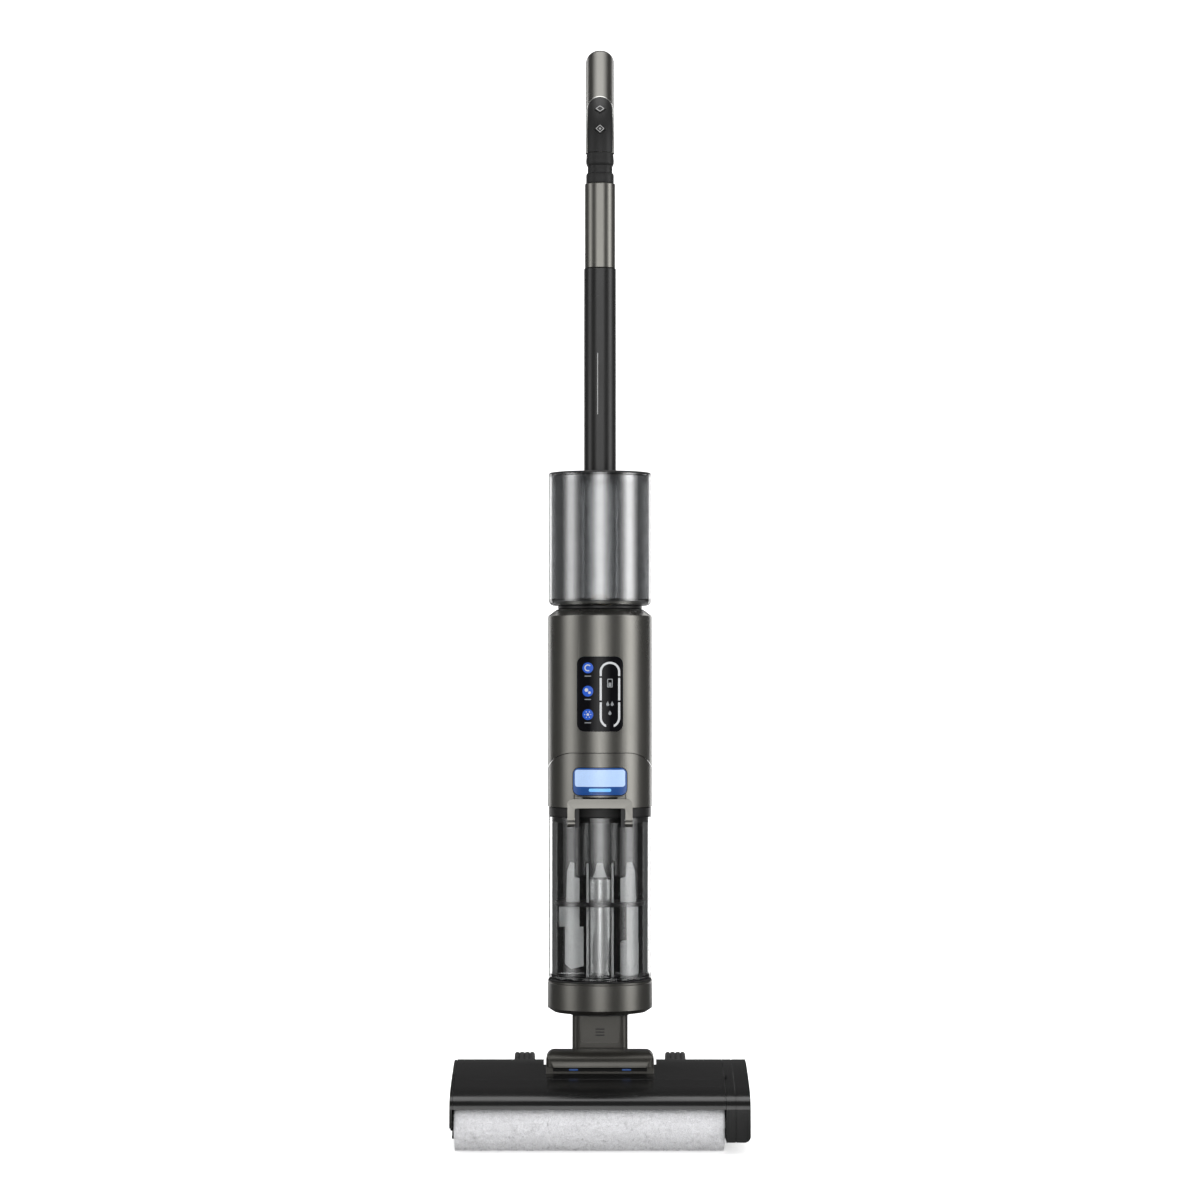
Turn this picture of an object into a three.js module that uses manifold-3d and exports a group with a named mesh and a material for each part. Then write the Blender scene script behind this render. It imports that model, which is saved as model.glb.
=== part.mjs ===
// Cordless wet and dry floor scrubber: floor head with a powered roller, tilting and
// swivelling body with two water tanks, pole and bent grip.
// Millimetres, +Z up, front towards -Y, origin on the floor under the middle of the machine.
import * as THREE from "three";
import { mergeVertices } from "three/addons/utils/BufferGeometryUtils.js";
import Module from "manifold-3d";

const wasm = await Module();
wasm.setup();

// ---------- Driving dimensions ----------
const GAP = 0.3; // air between two pieces that touch
const ROUND = 32; // sides of the large round pieces
const FINE = 20; // sides of the middle-sized round pieces
const SMALL = 12; // sides of pins and tubes

const HEAD = { side: 145, left: -142.1, right: 121.2, front: -125.5, rear: 8, bottom: 8, lip: 44, wall: 3 };
const CREST = { rearZ: 78, y: -20, z: 77, shoulderY: -88, shoulderZ: 64 };
const SLOT = { half: 56, y: -24, arm: 7.5 };
const BRUSH = { y: -95, z: 27.5, radius: 27.5, core: 19, left: -141.5, right: 121 };
const DRIVE = { inner: 121.5, bottom: 12.4, corner: 6, pulleyX: 126, width: 10 };
const MOTOR = { y: -42, z: 42, radius: 15, left: 68, right: 114 };
const PULLEY = { brush: 11, motor: 5.5, tooth: 0.8, belt: 1.5 };
const HINGE = { y: 20, z: 45, barrel: 17, half: 47, pin: 7 };
const WHEEL = { y: 66, z: 39.5, radius: 39.5, inner: 66.2, outer: 86.6, hub: 28, axle: 4 };
const COWL = { half: 53, front: -63, lip: 77.3, top: 92, wall: 2.5 };
const NECK = { half: 27.5, front: -22, rear: 22, top: 124, bore: 13.2 };

const BODY = { radius: 52, wall: 3 };
const TANK = { radius: 51, wall: 2.5, back: 25.3 };
const INLET_Y = -4;
const CUP = { bottom: 127, bevel: 131, top: 158, foot: 46 };
const DIRTY = { bottom: 160, top: 321, lid: 330.7 };
const LATCH = { bottom: 331, seamFront: 385, seamSide: 370, seamHalf: 27 };
const HOUSING = { shoulder: 521, top: 527.5, neck: 43, plate: 3 };
const SEAT = { radius: 42, top: 531 };
const CLEAN = { bottom: 531.3, top: 660, lid: 664, grooveHalf: 17.2, grooveY: 13 };
const POLE = { y: 28, width: 32.4, depth: 28, corner: 12, bottom: 505, top: 872, wall: 1.8 };
const COLLAR = { width: 31, depth: 27, corner: 11.5, top: 958 };
const GRIP_LEAN = 46.2 * THREE.MathUtils.DEG2RAD;
const GRIP = { start: 989, bend: 60, angle: GRIP_LEAN, straight: 89.9, end: 14.2, sunk: 1 };
const GRIP_SECTION = { width: 29.2, depth: 29, corner: 12 };
const PANEL = { half: 12.6, thick: 2.2, edge: 6, from: 0.2, to: 56, archZ: 1035, topZ: 1049 };
const BUTTON = { size: 10.4, base: 10.6, proud: 0.7 };
const BUTTON_ANGLES = { mode: 0.322, power: 0.656 };
const DISPLAY = { width: 45, height: 73.5, z: 443.2, corner: 7 };
const RELEASE = { width: 53, height: 26.6, z: 357, corner: 6 };
const BAIL = { half: 32, leg: 7, back: -52.5, front: -58, pivotY: -57, pivotZ: 316, top: 340, bar: 9 };
const FILL = { y: -24, hole: 14, cap: 17, hingeY: -5 };

const FINISHES = {
  paint: { color: 0x6e6d67, roughness: 0.35, metalness: 0.6 },
  gloss: { color: 0x1c1c1c, roughness: 0.18, metalness: 0 },
  black: { color: 0x262624, roughness: 0.5, metalness: 0 },
  clear: { color: 0xb9bec0, roughness: 0.06, metalness: 0 },
  smoke: { color: 0x565a5c, roughness: 0.1, metalness: 0 },
  frosted: { color: 0xd5d8d8, roughness: 0.35, metalness: 0 },
  pole: { color: 0x2a2a2a, roughness: 0.3, metalness: 0.5 },
  pile: { color: 0xdddde2, roughness: 0.95, metalness: 0 },
  rubber: { color: 0x1b1b1b, roughness: 0.8, metalness: 0 },
  steel: { color: 0xb0b2b4, roughness: 0.3, metalness: 1 },
  glass: { color: 0x08090a, roughness: 0.05, metalness: 0 },
  lit: { color: 0xbdd1eb, roughness: 0.3, metalness: 0 },
  light: { color: 0x2c62c8, roughness: 0.3, metalness: 0 },
  board: { color: 0x1f5136, roughness: 0.5, metalness: 0 },
  cell: { color: 0x3d6f8c, roughness: 0.45, metalness: 0 },
  duct: { color: 0x55565a, roughness: 0.6, metalness: 0 },
  brass: { color: 0xc9a34a, roughness: 0.3, metalness: 1 },
};

// ---------- Solids ----------

// A closed geometry as a solid: corners at one place become one vertex.
function solid(shape) {
  if (!shape.isBufferGeometry) return shape;
  const bare = shape.index ? shape.toNonIndexed() : shape.clone();
  bare.deleteAttribute("normal");
  bare.deleteAttribute("uv");
  const merged = mergeVertices(bare, 1e-4);
  const index = merged.index.array;
  const triangles = [];
  for (let i = 0; i < index.length; i += 3) {
    const [a, b, c] = index.slice(i, i + 3);
    if (a !== b && b !== c && c !== a) triangles.push(a, b, c);
  }
  const vertProperties = merged.attributes.position.array;
  const triVerts = new Uint32Array(triangles);
  return new wasm.Manifold(new wasm.Mesh({ numProp: 3, vertProperties, triVerts }));
}

const join = (first, ...others) => others.reduce((whole, part) => whole.add(solid(part)), solid(first));
const cut = (first, ...tools) => tools.reduce((whole, tool) => whole.subtract(solid(tool)), solid(first));
const common = (first, ...others) =>
  others.reduce((whole, part) => whole.intersect(solid(part)), solid(first));

// One named sub-part.
function piece(name, shape, finish) {
  const { vertProperties, triVerts } = solid(shape).getMesh();
  const geometry = new THREE.BufferGeometry();
  geometry.setAttribute("position", new THREE.BufferAttribute(vertProperties, 3));
  geometry.setIndex(new THREE.BufferAttribute(triVerts, 1));
  geometry.computeVertexNormals();
  const mesh = new THREE.Mesh(geometry, new THREE.MeshStandardMaterial(FINISHES[finish]));
  mesh.name = name;
  return mesh;
}

function at(x, y, z, ...pieces) {
  const group = new THREE.Group();
  group.position.set(x, y, z);
  group.add(...pieces);
  return group;
}

// ---------- Basic forms ----------

function box([x0, y0, z0], [x1, y1, z1]) {
  const form = new THREE.BoxGeometry(x1 - x0, y1 - y0, z1 - z0);
  return form.translate((x0 + x1) / 2, (y0 + y1) / 2, (z0 + z1) / 2);
}

// A profile of [radius, height] pairs turned about the Z axis.
function turned(profile, sides = ROUND) {
  const points = profile.map(([r, h]) => new THREE.Vector2(r, h));
  if (THREE.ShapeUtils.isClockWise(points)) points.reverse();
  const onAxis = points[0].x === 0 && points[points.length - 1].x === 0;
  if (!onAxis) points.push(points[0].clone());
  return new THREE.LatheGeometry(points, sides).rotateX(Math.PI / 2);
}

// The same, about the X axis: the pairs are [radius, x].
const turnedX = (profile, sides = ROUND) => turned(profile, sides).rotateY(Math.PI / 2);

const disc = (radius, z0, z1, sides = ROUND) =>
  turned([[0, z0], [radius, z0], [radius, z1], [0, z1]], sides);
const discX = (radius, x0, x1, sides = FINE) => disc(radius, x0, x1, sides).rotateY(Math.PI / 2);
const ring = (inner, outer, z0, z1, sides = ROUND) =>
  turned([[inner, z0], [outer, z0], [outer, z1], [inner, z1]], sides);

const placed = (form, x, y, z) => form.translate(x, y, z);

function polygon(points) {
  return new THREE.Shape(points.map(([a, b]) => new THREE.Vector2(a, b)));
}

function circle(a, b, radius) {
  return new THREE.Shape().absarc(a, b, radius, 0, 2 * Math.PI);
}

function roundedRect(width, height, radius, a = 0, b = 0) {
  const [w, h] = [width / 2 - radius, height / 2 - radius];
  const shape = new THREE.Shape();
  shape.absarc(a + w, b + h, radius, 0, Math.PI / 2);
  shape.absarc(a - w, b + h, radius, Math.PI / 2, Math.PI);
  shape.absarc(a - w, b - h, radius, Math.PI, 1.5 * Math.PI);
  shape.absarc(a + w, b - h, radius, 1.5 * Math.PI, 2 * Math.PI);
  return shape;
}

// Outlines extruded along each axis: (x, y) along Z, (x, z) along Y, (y, z) along X.
function prismZ(shape, z0, z1, curveSegments = 3) {
  const form = new THREE.ExtrudeGeometry(shape, { depth: z1 - z0, bevelEnabled: false, curveSegments });
  return form.translate(0, 0, z0);
}

function prismY(shape, y0, y1, curveSegments = 3) {
  const form = new THREE.ExtrudeGeometry(shape, { depth: y1 - y0, bevelEnabled: false, curveSegments });
  return form.rotateX(Math.PI / 2).translate(0, y1, 0);
}

function prismX(shape, x0, x1, curveSegments = 5) {
  const form = new THREE.ExtrudeGeometry(shape, { depth: x1 - x0, bevelEnabled: false, curveSegments });
  return form.rotateZ(Math.PI / 2).rotateY(Math.PI / 2).translate(x0, 0, 0);
}

// ---------- Floor head ----------

// Side outline (y, z) of the head, drawn `inset` inside its skin, down to `bottom`.
function headOutline(inset, bottom, rear = HEAD.rear) {
  const front = HEAD.front + inset;
  const shoulder = CREST.shoulderZ - inset;
  const outline = new THREE.Shape();
  outline.moveTo(front, bottom);
  outline.lineTo(rear, bottom);
  outline.lineTo(rear, CREST.rearZ - inset);
  outline.lineTo(CREST.y, CREST.z - inset);
  outline.lineTo(CREST.shoulderY, shoulder);
  outline.bezierCurveTo(-107, shoulder - 3.7, front + 2, shoulder - 8, front, HEAD.lip);
  return outline;
}

function headCover() {
  const skin = prismX(headOutline(0, HEAD.lip), HEAD.left, HEAD.right);
  const inside = prismX(headOutline(HEAD.wall, 0, HEAD.rear + 1), HEAD.left - 1, HEAD.right + 1);
  const slot = box([-SLOT.half, SLOT.y, 0], [SLOT.half, 40, 100]);
  return cut(skin, inside, slot);
}

// Side outline of one rear arm, from the chassis back to the wheel axle.
function armOutline() {
  const outline = new THREE.Shape();
  outline.moveTo(SLOT.y - 2.6, HEAD.bottom);
  outline.lineTo(40, HEAD.bottom);
  outline.lineTo(60, 24);
  outline.absarc(WHEEL.y, WHEEL.z, 14, THREE.MathUtils.degToRad(-110), THREE.MathUtils.degToRad(80));
  outline.lineTo(40, 62);
  outline.lineTo(HEAD.rear, 73.4);
  outline.lineTo(SLOT.y - 2.6, 71.4);
  return outline;
}

function headBase() {
  const sheet = 2.6;
  const [left, right, back] = [-HEAD.side, 120.9, 5];
  const chamber = -62;
  const top = 80;
  const cheek = box([left, chamber + 4.6, HEAD.bottom], [left + sheet, back, top]);
  const walls = [
    box([left, chamber, HEAD.bottom], [right, back, HEAD.bottom + 3]),
    box([HEAD.left, chamber, HEAD.bottom], [right, chamber + sheet, top]),
    box([right - sheet, chamber, HEAD.bottom], [right, back, top]),
    box([HEAD.left, back - sheet, HEAD.bottom], [right, back, top]),
    box([-SLOT.half - SLOT.arm, SLOT.y - sheet, HEAD.bottom], [SLOT.half + SLOT.arm, SLOT.y, top]),
  ];
  const underCover = prismX(headOutline(HEAD.wall + GAP, 0), left - 1, right + 1);
  const slot = box([-SLOT.half, SLOT.y, 0], [SLOT.half, 40, 100]);
  const tray = cut(common(join(...walls), underCover), slot);
  const cheekWall = common(cheek, prismX(headOutline(0, 0), left - 1, 0));
  const arms = [SLOT.half, -SLOT.half - SLOT.arm].map((x) => prismX(armOutline(), x, x + SLOT.arm));
  return cut(
    join(tray, cheekWall, ...arms),
    box([-30, chamber - 1, 14], [30, chamber + sheet + 1, 39]),
    prismY(circle(0, HINGE.z, NECK.bore), SLOT.y - sheet - 1, SLOT.y + 1),
    placed(discX(6, right - 4, right + 1), 0, MOTOR.y, MOTOR.z),
    placed(discX(HINGE.pin + GAP, -70, 70), 0, HINGE.y, HINGE.z),
    placed(discX(WHEEL.axle + GAP, -70, 70, SMALL), 0, WHEEL.y, WHEEL.z),
  );
}

function driveHousing() {
  const { inner, bottom, corner } = DRIVE;
  const outer = HEAD.side;
  const front = new THREE.Shape();
  front.moveTo(inner, 100);
  front.lineTo(inner, bottom);
  front.absarc(outer - corner, bottom + corner, corner, 1.5 * Math.PI, 2 * Math.PI);
  front.lineTo(outer, 100);
  const skin = common(
    prismX(headOutline(0, bottom), inner, outer),
    prismY(front, HEAD.front - 1, HEAD.rear + 1),
  );
  const hollowOutline = headOutline(HEAD.wall, bottom + 2, HEAD.rear - HEAD.wall);
  const hollow = prismX(hollowOutline, inner + 2, outer - HEAD.wall);
  const brushHole = placed(discX(12, inner - 1, inner + 3, FINE), 0, BRUSH.y, BRUSH.z);
  const motorHole = placed(discX(10, inner - 1, inner + 3, SMALL), 0, MOTOR.y, MOTOR.z);
  return cut(skin, hollow, brushHole, motorHole);
}

// A pulley's toothed outline about its own axis.
function pulley(radius, teeth, x0, x1) {
  const outline = [];
  for (let i = 0; i < teeth * 4; i += 1) {
    const angle = (2 * Math.PI * i) / (teeth * 4);
    const reach = i % 4 < 2 ? radius : radius - PULLEY.tooth;
    outline.push([reach * Math.cos(angle), reach * Math.sin(angle)]);
  }
  return prismX(polygon(outline), x0, x1);
}

const hexagon = (acrossCorners, x0, x1) => discX(acrossCorners / 2, x0, x1, 6);

function brushPulley() {
  const { pulleyX, width } = DRIVE;
  return join(
    pulley(PULLEY.brush, 24, pulleyX, pulleyX + width),
    discX(5, 120, pulleyX + 1, SMALL),
    hexagon(13, 111.5, 120.5),
  );
}

function motorPulley() {
  const { pulleyX, width } = DRIVE;
  const shaft = discX(2.5, MOTOR.right + GAP, pulleyX + 1, 12);
  return join(pulley(PULLEY.motor, 12, pulleyX, pulleyX + width), shaft);
}

// The belt's loop, drawn with the brush pulley's centre at the origin and the motor's along +y.
function beltLoop(distance, grow) {
  const big = PULLEY.brush + grow;
  const little = PULLEY.motor + grow;
  const lean = Math.acos((big - little) / distance);
  const loop = new THREE.Shape();
  loop.absarc(0, 0, big, lean, 2 * Math.PI - lean);
  loop.absarc(distance, 0, little, -lean, lean);
  return loop;
}

function driveBelt() {
  const [dy, dz] = [MOTOR.y - BRUSH.y, MOTOR.z - BRUSH.z];
  const distance = Math.hypot(dy, dz);
  const [x0, x1] = [DRIVE.pulleyX + 1, DRIVE.pulleyX + DRIVE.width - 1];
  const outside = prismX(beltLoop(distance, GAP + PULLEY.belt), x0, x1, 10);
  const inside = prismX(beltLoop(distance, GAP), x0 - 1, x1 + 1, 10);
  const belt = piece("drive_belt", cut(outside, inside), "rubber");
  belt.rotation.x = Math.atan2(dz, dy);
  return belt;
}

function brushMotor() {
  const { radius, left, right } = MOTOR;
  const profile = [[0, left], [6, left], [6, left + 3], [radius, left + 3], [radius, right - 3],
    [6, right - 3], [6, right], [0, right]];
  return turnedX(profile, FINE);
}

function brushScraper() {
  return prismX(polygon([[-62.3, 39], [-62.3, 47], [-65.6, 45.6], [-66.8, 41]]), -136, 117);
}

function sprayBar() {
  const bar = box([-130, -72, 55.5], [110, -65, 60.5]);
  const nozzles = [-100, -50, 0, 50, 95].map((x) => placed(disc(1.6, 0, 2, 8), x, -69, 53.6));
  return join(bar, ...nozzles);
}

function suctionDuct() {
  const [front, back] = [-59.1, SLOT.y - 2.9];
  const plan = (half, neck, extra) =>
    polygon([[-half, front - extra], [half, front - extra], [neck, back + extra], [-neck, back + extra]]);
  return cut(
    prismZ(plan(32, 15, 0), 12, 56),
    prismZ(plan(30, 12.5, 0.01), 14, 54),
    box([-40, front - 1, 41], [40, back - 16, 60]),
  );
}

function pivotCowl() {
  const { half, front, lip, top, wall } = COWL;
  const slope = (CREST.z - CREST.shoulderZ) / (CREST.y - CREST.shoulderY);
  const underside = (y) => CREST.z + GAP + 0.15 + slope * (y - CREST.y);
  const foot = front + 7;
  const side = new THREE.Shape();
  side.moveTo(front, lip);
  side.lineTo(foot, lip);
  side.lineTo(foot, underside(foot));
  side.lineTo(SLOT.y, underside(SLOT.y));
  side.lineTo(SLOT.y, top);
  side.lineTo(-38, top);
  side.bezierCurveTo(-50, top, front, 87, front, lip);
  const hollow = new THREE.Shape();
  hollow.moveTo(foot + wall, 60);
  hollow.lineTo(SLOT.y - wall, 60);
  hollow.lineTo(SLOT.y - wall, top - wall);
  hollow.lineTo(-38, top - wall);
  hollow.lineTo(foot + wall, lip + 4);
  const hood = common(
    prismX(side, -half, half, 8),
    prismY(roundedRect(2 * half, 60, 8, 0, top - 30), -80, 0),
    prismZ(roundedRect(2 * half, 78, 8, 0, front + 39), 0, 120),
  );
  return cut(hood, prismX(hollow, -half + 8, half - 8));
}

function wheelAxle() {
  const start = SLOT.half + GAP;
  const profile = [[0, start], [WHEEL.axle, start], [WHEEL.axle, 87.2], [9, 87.2], [8, 89.5], [0, 89.5]];
  return turnedX(profile, SMALL);
}

function pivotPin() {
  return turnedX([[0, 30], [HINGE.pin, 30], [HINGE.pin, 63.8], [8.7, 63.8], [8.7, 65.6], [0, 65.6]], FINE);
}

function wheelHub() {
  const { inner, outer, hub, axle } = WHEEL;
  const bore = axle + GAP;
  const profile = [[bore, inner], [hub, inner], [hub, outer - 1], [hub - 3, outer - 3], [11, outer - 5],
    [bore, outer - 5]];
  return turnedX(profile, FINE);
}

function wheelTyre() {
  const { inner, outer, radius, hub } = WHEEL;
  const bore = hub + GAP;
  const profile = [[bore, inner], [radius - 2, inner], [radius, inner + 2], [radius, outer - 2],
    [radius - 2, outer], [bore, outer]];
  return turnedX(profile);
}

function endCap() {
  const [x0, x1] = [-HEAD.side, -HEAD.side + 2.6];
  const room = box([x0 - 1, HEAD.front - 1, 0], [x1 + 1, -57.7, 100]);
  const plate = common(prismX(headOutline(0, 26), x0, x1), room);
  const boss = placed(discX(7.5, x0, x1), 0, BRUSH.y, BRUSH.z);
  const spigot = placed(discX(6, x0 + 1, -128, SMALL), 0, BRUSH.y, BRUSH.z);
  return join(plate, boss, spigot);
}

function brushCore() {
  const { left, right, core } = BRUSH;
  return cut(
    discX(core, left + GAP, right - GAP, FINE),
    discX(6.6, left - 1, left + 15, SMALL),
    hexagon(14.4, right - 11, right + 1),
  );
}

const brushPile = () => turnedX([[BRUSH.core + GAP, BRUSH.left], [BRUSH.radius, BRUSH.left],
  [BRUSH.radius, BRUSH.right], [BRUSH.core + GAP, BRUSH.right]]);

function floorHead() {
  const head = new THREE.Group();
  head.add(
    piece("head_base", headBase(), "black"),
    piece("head_cover", headCover(), "gloss"),
    piece("drive_housing", driveHousing(), "gloss"),
    piece("brush_scraper", brushScraper(), "rubber"),
    piece("suction_duct", suctionDuct(), "duct"),
    piece("spray_bar", sprayBar(), "duct"),
    piece("pivot_cowl", pivotCowl(), "paint"),
    piece("headlight_strip", box([-46, -61.3, 73.6], [46, -56.6, 77]), "light"),
    piece("brush_end_cap", endCap(), "gloss"),
    at(0, MOTOR.y, MOTOR.z,
      piece("brush_motor", brushMotor(), "steel"),
      piece("motor_pulley", motorPulley(), "steel")),
    at(0, BRUSH.y, BRUSH.z,
      piece("brush_core", brushCore(), "frosted"),
      piece("brush_pile", brushPile(), "pile"),
      piece("brush_pulley", brushPulley(), "frosted"), driveBelt()),
  );
  for (const [side, turn] of [["right", 0], ["left", Math.PI]]) {
    const pin = piece(`pivot_pin_${side}`, pivotPin(), "steel");
    const axle = piece(`wheel_axle_${side}`, wheelAxle(), "steel");
    const hub = piece(`wheel_hub_${side}`, wheelHub(), "black");
    const tyre = piece(`wheel_tyre_${side}`, wheelTyre(), "rubber");
    for (const part of [pin, axle, hub, tyre]) part.rotation.z = turn;
    head.add(at(0, HINGE.y, HINGE.z, pin), at(0, WHEEL.y, WHEEL.z, axle, hub, tyre));
  }
  return head;
}

// ---------- Neck ----------

function yoke() {
  const { half, front, rear, top, bore } = NECK;
  const side = polygon([[front, top], [front, 92], [6, 42], [34, 42], [rear, 78], [rear, top]]);
  const plan = prismZ(roundedRect(2 * half, 70, 7, 0, front + 35), 0, 200);
  const column = common(prismX(side, -half, half), plan);
  const barrel = placed(discX(HINGE.barrel, -HINGE.half, HINGE.half), 0, HINGE.y, HINGE.z);
  const pinBores = [[29, 48], [-48, -29]].map(([x0, x1]) =>
    placed(discX(HINGE.pin + GAP, x0, x1), 0, HINGE.y, HINGE.z));
  return cut(join(column, barrel), disc(bore, 56, top + 1, FINE), ...pinBores);
}

// Corrugated hose: an outer wall that steps between two radii, ring by ring.
function neckHose() {
  const [bottom, pitch, ribs] = [60, 14, 4];
  const profile = [[10, bottom]];
  for (let i = 0; i < ribs; i += 1) {
    const z = bottom + i * pitch;
    profile.push([11.4, z], [12.8, z + 3], [12.8, z + pitch - 3], [11.4, z + pitch]);
  }
  profile.push([10, bottom + ribs * pitch]);
  const differs = ([r, z], i) => i === 0 || r !== profile[i - 1][0] || z !== profile[i - 1][1];
  return turned(profile.filter(differs), SMALL);
}

function neck() {
  const group = new THREE.Group();
  group.add(
    piece("yoke", yoke(), "black"),
    piece("neck_hose", neckHose(), "rubber"),
    piece("swivel_ring", ring(14, 30.8, NECK.top + GAP, 129.6, FINE), "black"),
  );
  return group;
}

// ---------- Lower body ----------

function baseCup() {
  const { bottom, bevel, top, foot } = CUP;
  const { radius, wall } = BODY;
  const shell = turned([[31.5, bottom], [foot, bottom], [radius, bevel], [radius, top], [0, top],
    [0, top - wall], [radius - wall, top - wall], [radius - wall, bevel + 1.6], [foot - 1.2, bottom + wall],
    [31.5, bottom + wall]]);
  return cut(shell, placed(disc(14, top - wall - 1, top + 1, FINE), 0, INLET_Y, 0), tubeHole(0.6));
}

// The space that the water tube takes on its way down the back of the body.
const TUBE = { x: 24, y: 36, radius: 3 };
const tubeHole = (grow) => placed(disc(TUBE.radius + grow, 140, 520, 12), TUBE.x, TUBE.y, 0);

// The part of the body's plan in front of, or behind, a flat wall.
const frontOf = (y) => box([-60, -60, 0], [60, y, 700]);
const behind = (y) => box([-60, y, 0], [60, 60, 700]);

function rearSpine() {
  const [z0, z1] = [CUP.top + GAP, LATCH.bottom - GAP];
  const sheet = 2.5;
  const outside = common(disc(BODY.radius, z0, z1), behind(TANK.back + GAP));
  const inside = common(disc(BODY.radius - sheet, z0 - 1, z1 + 1), behind(TANK.back + GAP + sheet));
  return cut(outside, inside);
}

// Everything below the seam between latch cover and upper housing, moved down by `drop`.
function belowSeam(drop) {
  const { seamFront, seamSide, seamHalf } = LATCH;
  const seam = new THREE.Shape();
  seam.moveTo(-60, 300);
  seam.lineTo(60, 300);
  seam.lineTo(60, seamSide - drop);
  seam.lineTo(52, seamSide - drop);
  seam.bezierCurveTo(47, seamFront - 4 - drop, 36, seamFront - drop, seamHalf, seamFront - drop);
  seam.lineTo(-seamHalf, seamFront - drop);
  seam.bezierCurveTo(-36, seamFront - drop, -47, seamFront - 4 - drop, -52, seamSide - drop);
  seam.lineTo(-60, seamSide - drop);
  return prismY(seam, -60, 60, 6);
}

function latchCover() {
  const { bottom, seamFront } = LATCH;
  const inner = BODY.radius - BODY.wall;
  const shell = turned([[20, bottom], [BODY.radius, bottom], [BODY.radius, seamFront], [inner, seamFront],
    [inner, bottom + 3], [20, bottom + 3]]);
  const window = roundedRect(RELEASE.width + 1.4, RELEASE.height + 1.4, RELEASE.corner + 0.7, 0, RELEASE.z);
  const bailRoom = box([-BAIL.half - 2.4, -60, bottom - 1], [BAIL.half + 2.4, -45.8, BAIL.top + 1.4]);
  return cut(common(shell, belowSeam(GAP / 2)), prismY(window, -60, -30), bailRoom, tubeHole(0.6));
}

function releaseButton() {
  const face = common(
    prismY(roundedRect(RELEASE.width, RELEASE.height, RELEASE.corner, 0, RELEASE.z), -60, -30, 5),
    ring(48.4, BODY.radius - 0.2, 300, 400),
  );
  return join(face, box([-9, -50, RELEASE.z - 4], [9, -43, RELEASE.z + 4]));
}

function fanWheel() {
  const hub = join(disc(9, 374, 388, SMALL), disc(33, 374, 376, FINE));
  const blade = () => box([8, -0.8, 375], [32.5, 0.8, 386]);
  const blades = Array.from({ length: 9 }, (_, i) => blade().rotateZ((2 * Math.PI * i) / 9));
  return join(hub, ...blades);
}

function suctionMotor() {
  const profile = [[0, 392], [34, 392], [34, 412], [28, 418], [28, 426], [10, 426], [10, 429], [0, 429]];
  return turned(profile, FINE);
}

function lowerBody() {
  const group = new THREE.Group();
  const sealRing = common(ring(44, 51.5, CUP.top + GAP, DIRTY.bottom - GAP), frontOf(TANK.back));
  const contact = join(
    box([-14, 52.3, 136], [14, 54.5, 152]),
    ...[-8, 8].map((x) => box([x - 3, 54, 140], [x + 3, 55, 148])),
  );
  group.add(
    piece("base_cup", baseCup(), "paint"),
    piece("base_seal", sealRing, "rubber"),
    piece("charge_contact_block", contact, "black"),
    piece("rear_spine", rearSpine(), "paint"),
    piece("water_tube", placed(disc(TUBE.radius, 142, 500, 12), TUBE.x, TUBE.y, 0), "frosted"),
    piece("latch_cover", latchCover(), "paint"),
    piece("release_button", releaseButton(), "lit"),
    piece("fan_wheel", fanWheel(), "frosted"),
    piece("suction_motor", suctionMotor(), "steel"),
  );
  return group;
}

// ---------- Dirty water tank ----------

function dirtyCup() {
  const { radius, wall, back } = TANK;
  const { bottom, top } = DIRTY;
  const outside = common(disc(radius, bottom, top), frontOf(back));
  const inside = common(disc(radius - wall, bottom + 3, top + 1), frontOf(back - wall));
  return cut(outside, inside, placed(disc(12, bottom - 1, bottom + 4, FINE), 0, INLET_Y, 0));
}

function dirtyLid() {
  const { radius, wall, back } = TANK;
  const { top, lid } = DIRTY;
  const plate = common(disc(radius, top + GAP, lid), frontOf(back));
  const plug = common(ring(42, radius - wall - 0.4, top - 5, top + 1), frontOf(back - wall - 0.4));
  const ears = [-24.5, 20.5].map((x) => box([x, -60, BAIL.pivotZ - 4], [x + 4, -45, lid]));
  const earRound = cut(
    box([-30, BAIL.pivotY - 8, 300], [30, -45, lid + 1]),
    box([-30, -52.2, 300], [30, 0, top + GAP]),
  );
  const lugs = ears.map((ear) => common(ear, earRound, box([-30, BAIL.pivotY - 4, 300], [30, 0, 340])));
  const pins = [-1, 1].map((side) => {
    const [x0, x1] = side < 0 ? [-25, -20] : [20, 25];
    return placed(discX(2.6, x0, x1, 12), 0, BAIL.pivotY, BAIL.pivotZ);
  });
  return cut(join(plate, plug, ...lugs), placed(disc(16, 300, lid + 1, FINE), 0, INLET_Y, 0), ...pins);
}

function standpipe() {
  const { radius, back } = TANK;
  const floor = DIRTY.bottom + 3 + GAP;
  const pipe = ring(11.5, 14, floor, 261, FINE);
  const baffle = common(placed(disc(radius - 6, 233, 237), 0, -INLET_Y, 0), frontOf(back - 6 - INLET_Y));
  const floatHole = placed(disc(11.5, 200, 260, FINE), 29, -12 - INLET_Y, 0);
  return cut(join(pipe, cut(baffle, disc(13, 200, 260, FINE))), floatHole);
}

function filterCage() {
  const cage = turned([[0, 262], [24, 262], [24, 320.5], [17, 320.5], [17, 266], [0, 266]], FINE);
  const slots = Array.from({ length: 5 }, (_, i) =>
    box([15, -3, 272], [26, 3, 308]).rotateZ((Math.PI * i) / 4));
  return cut(cage, ...slots);
}

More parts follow.
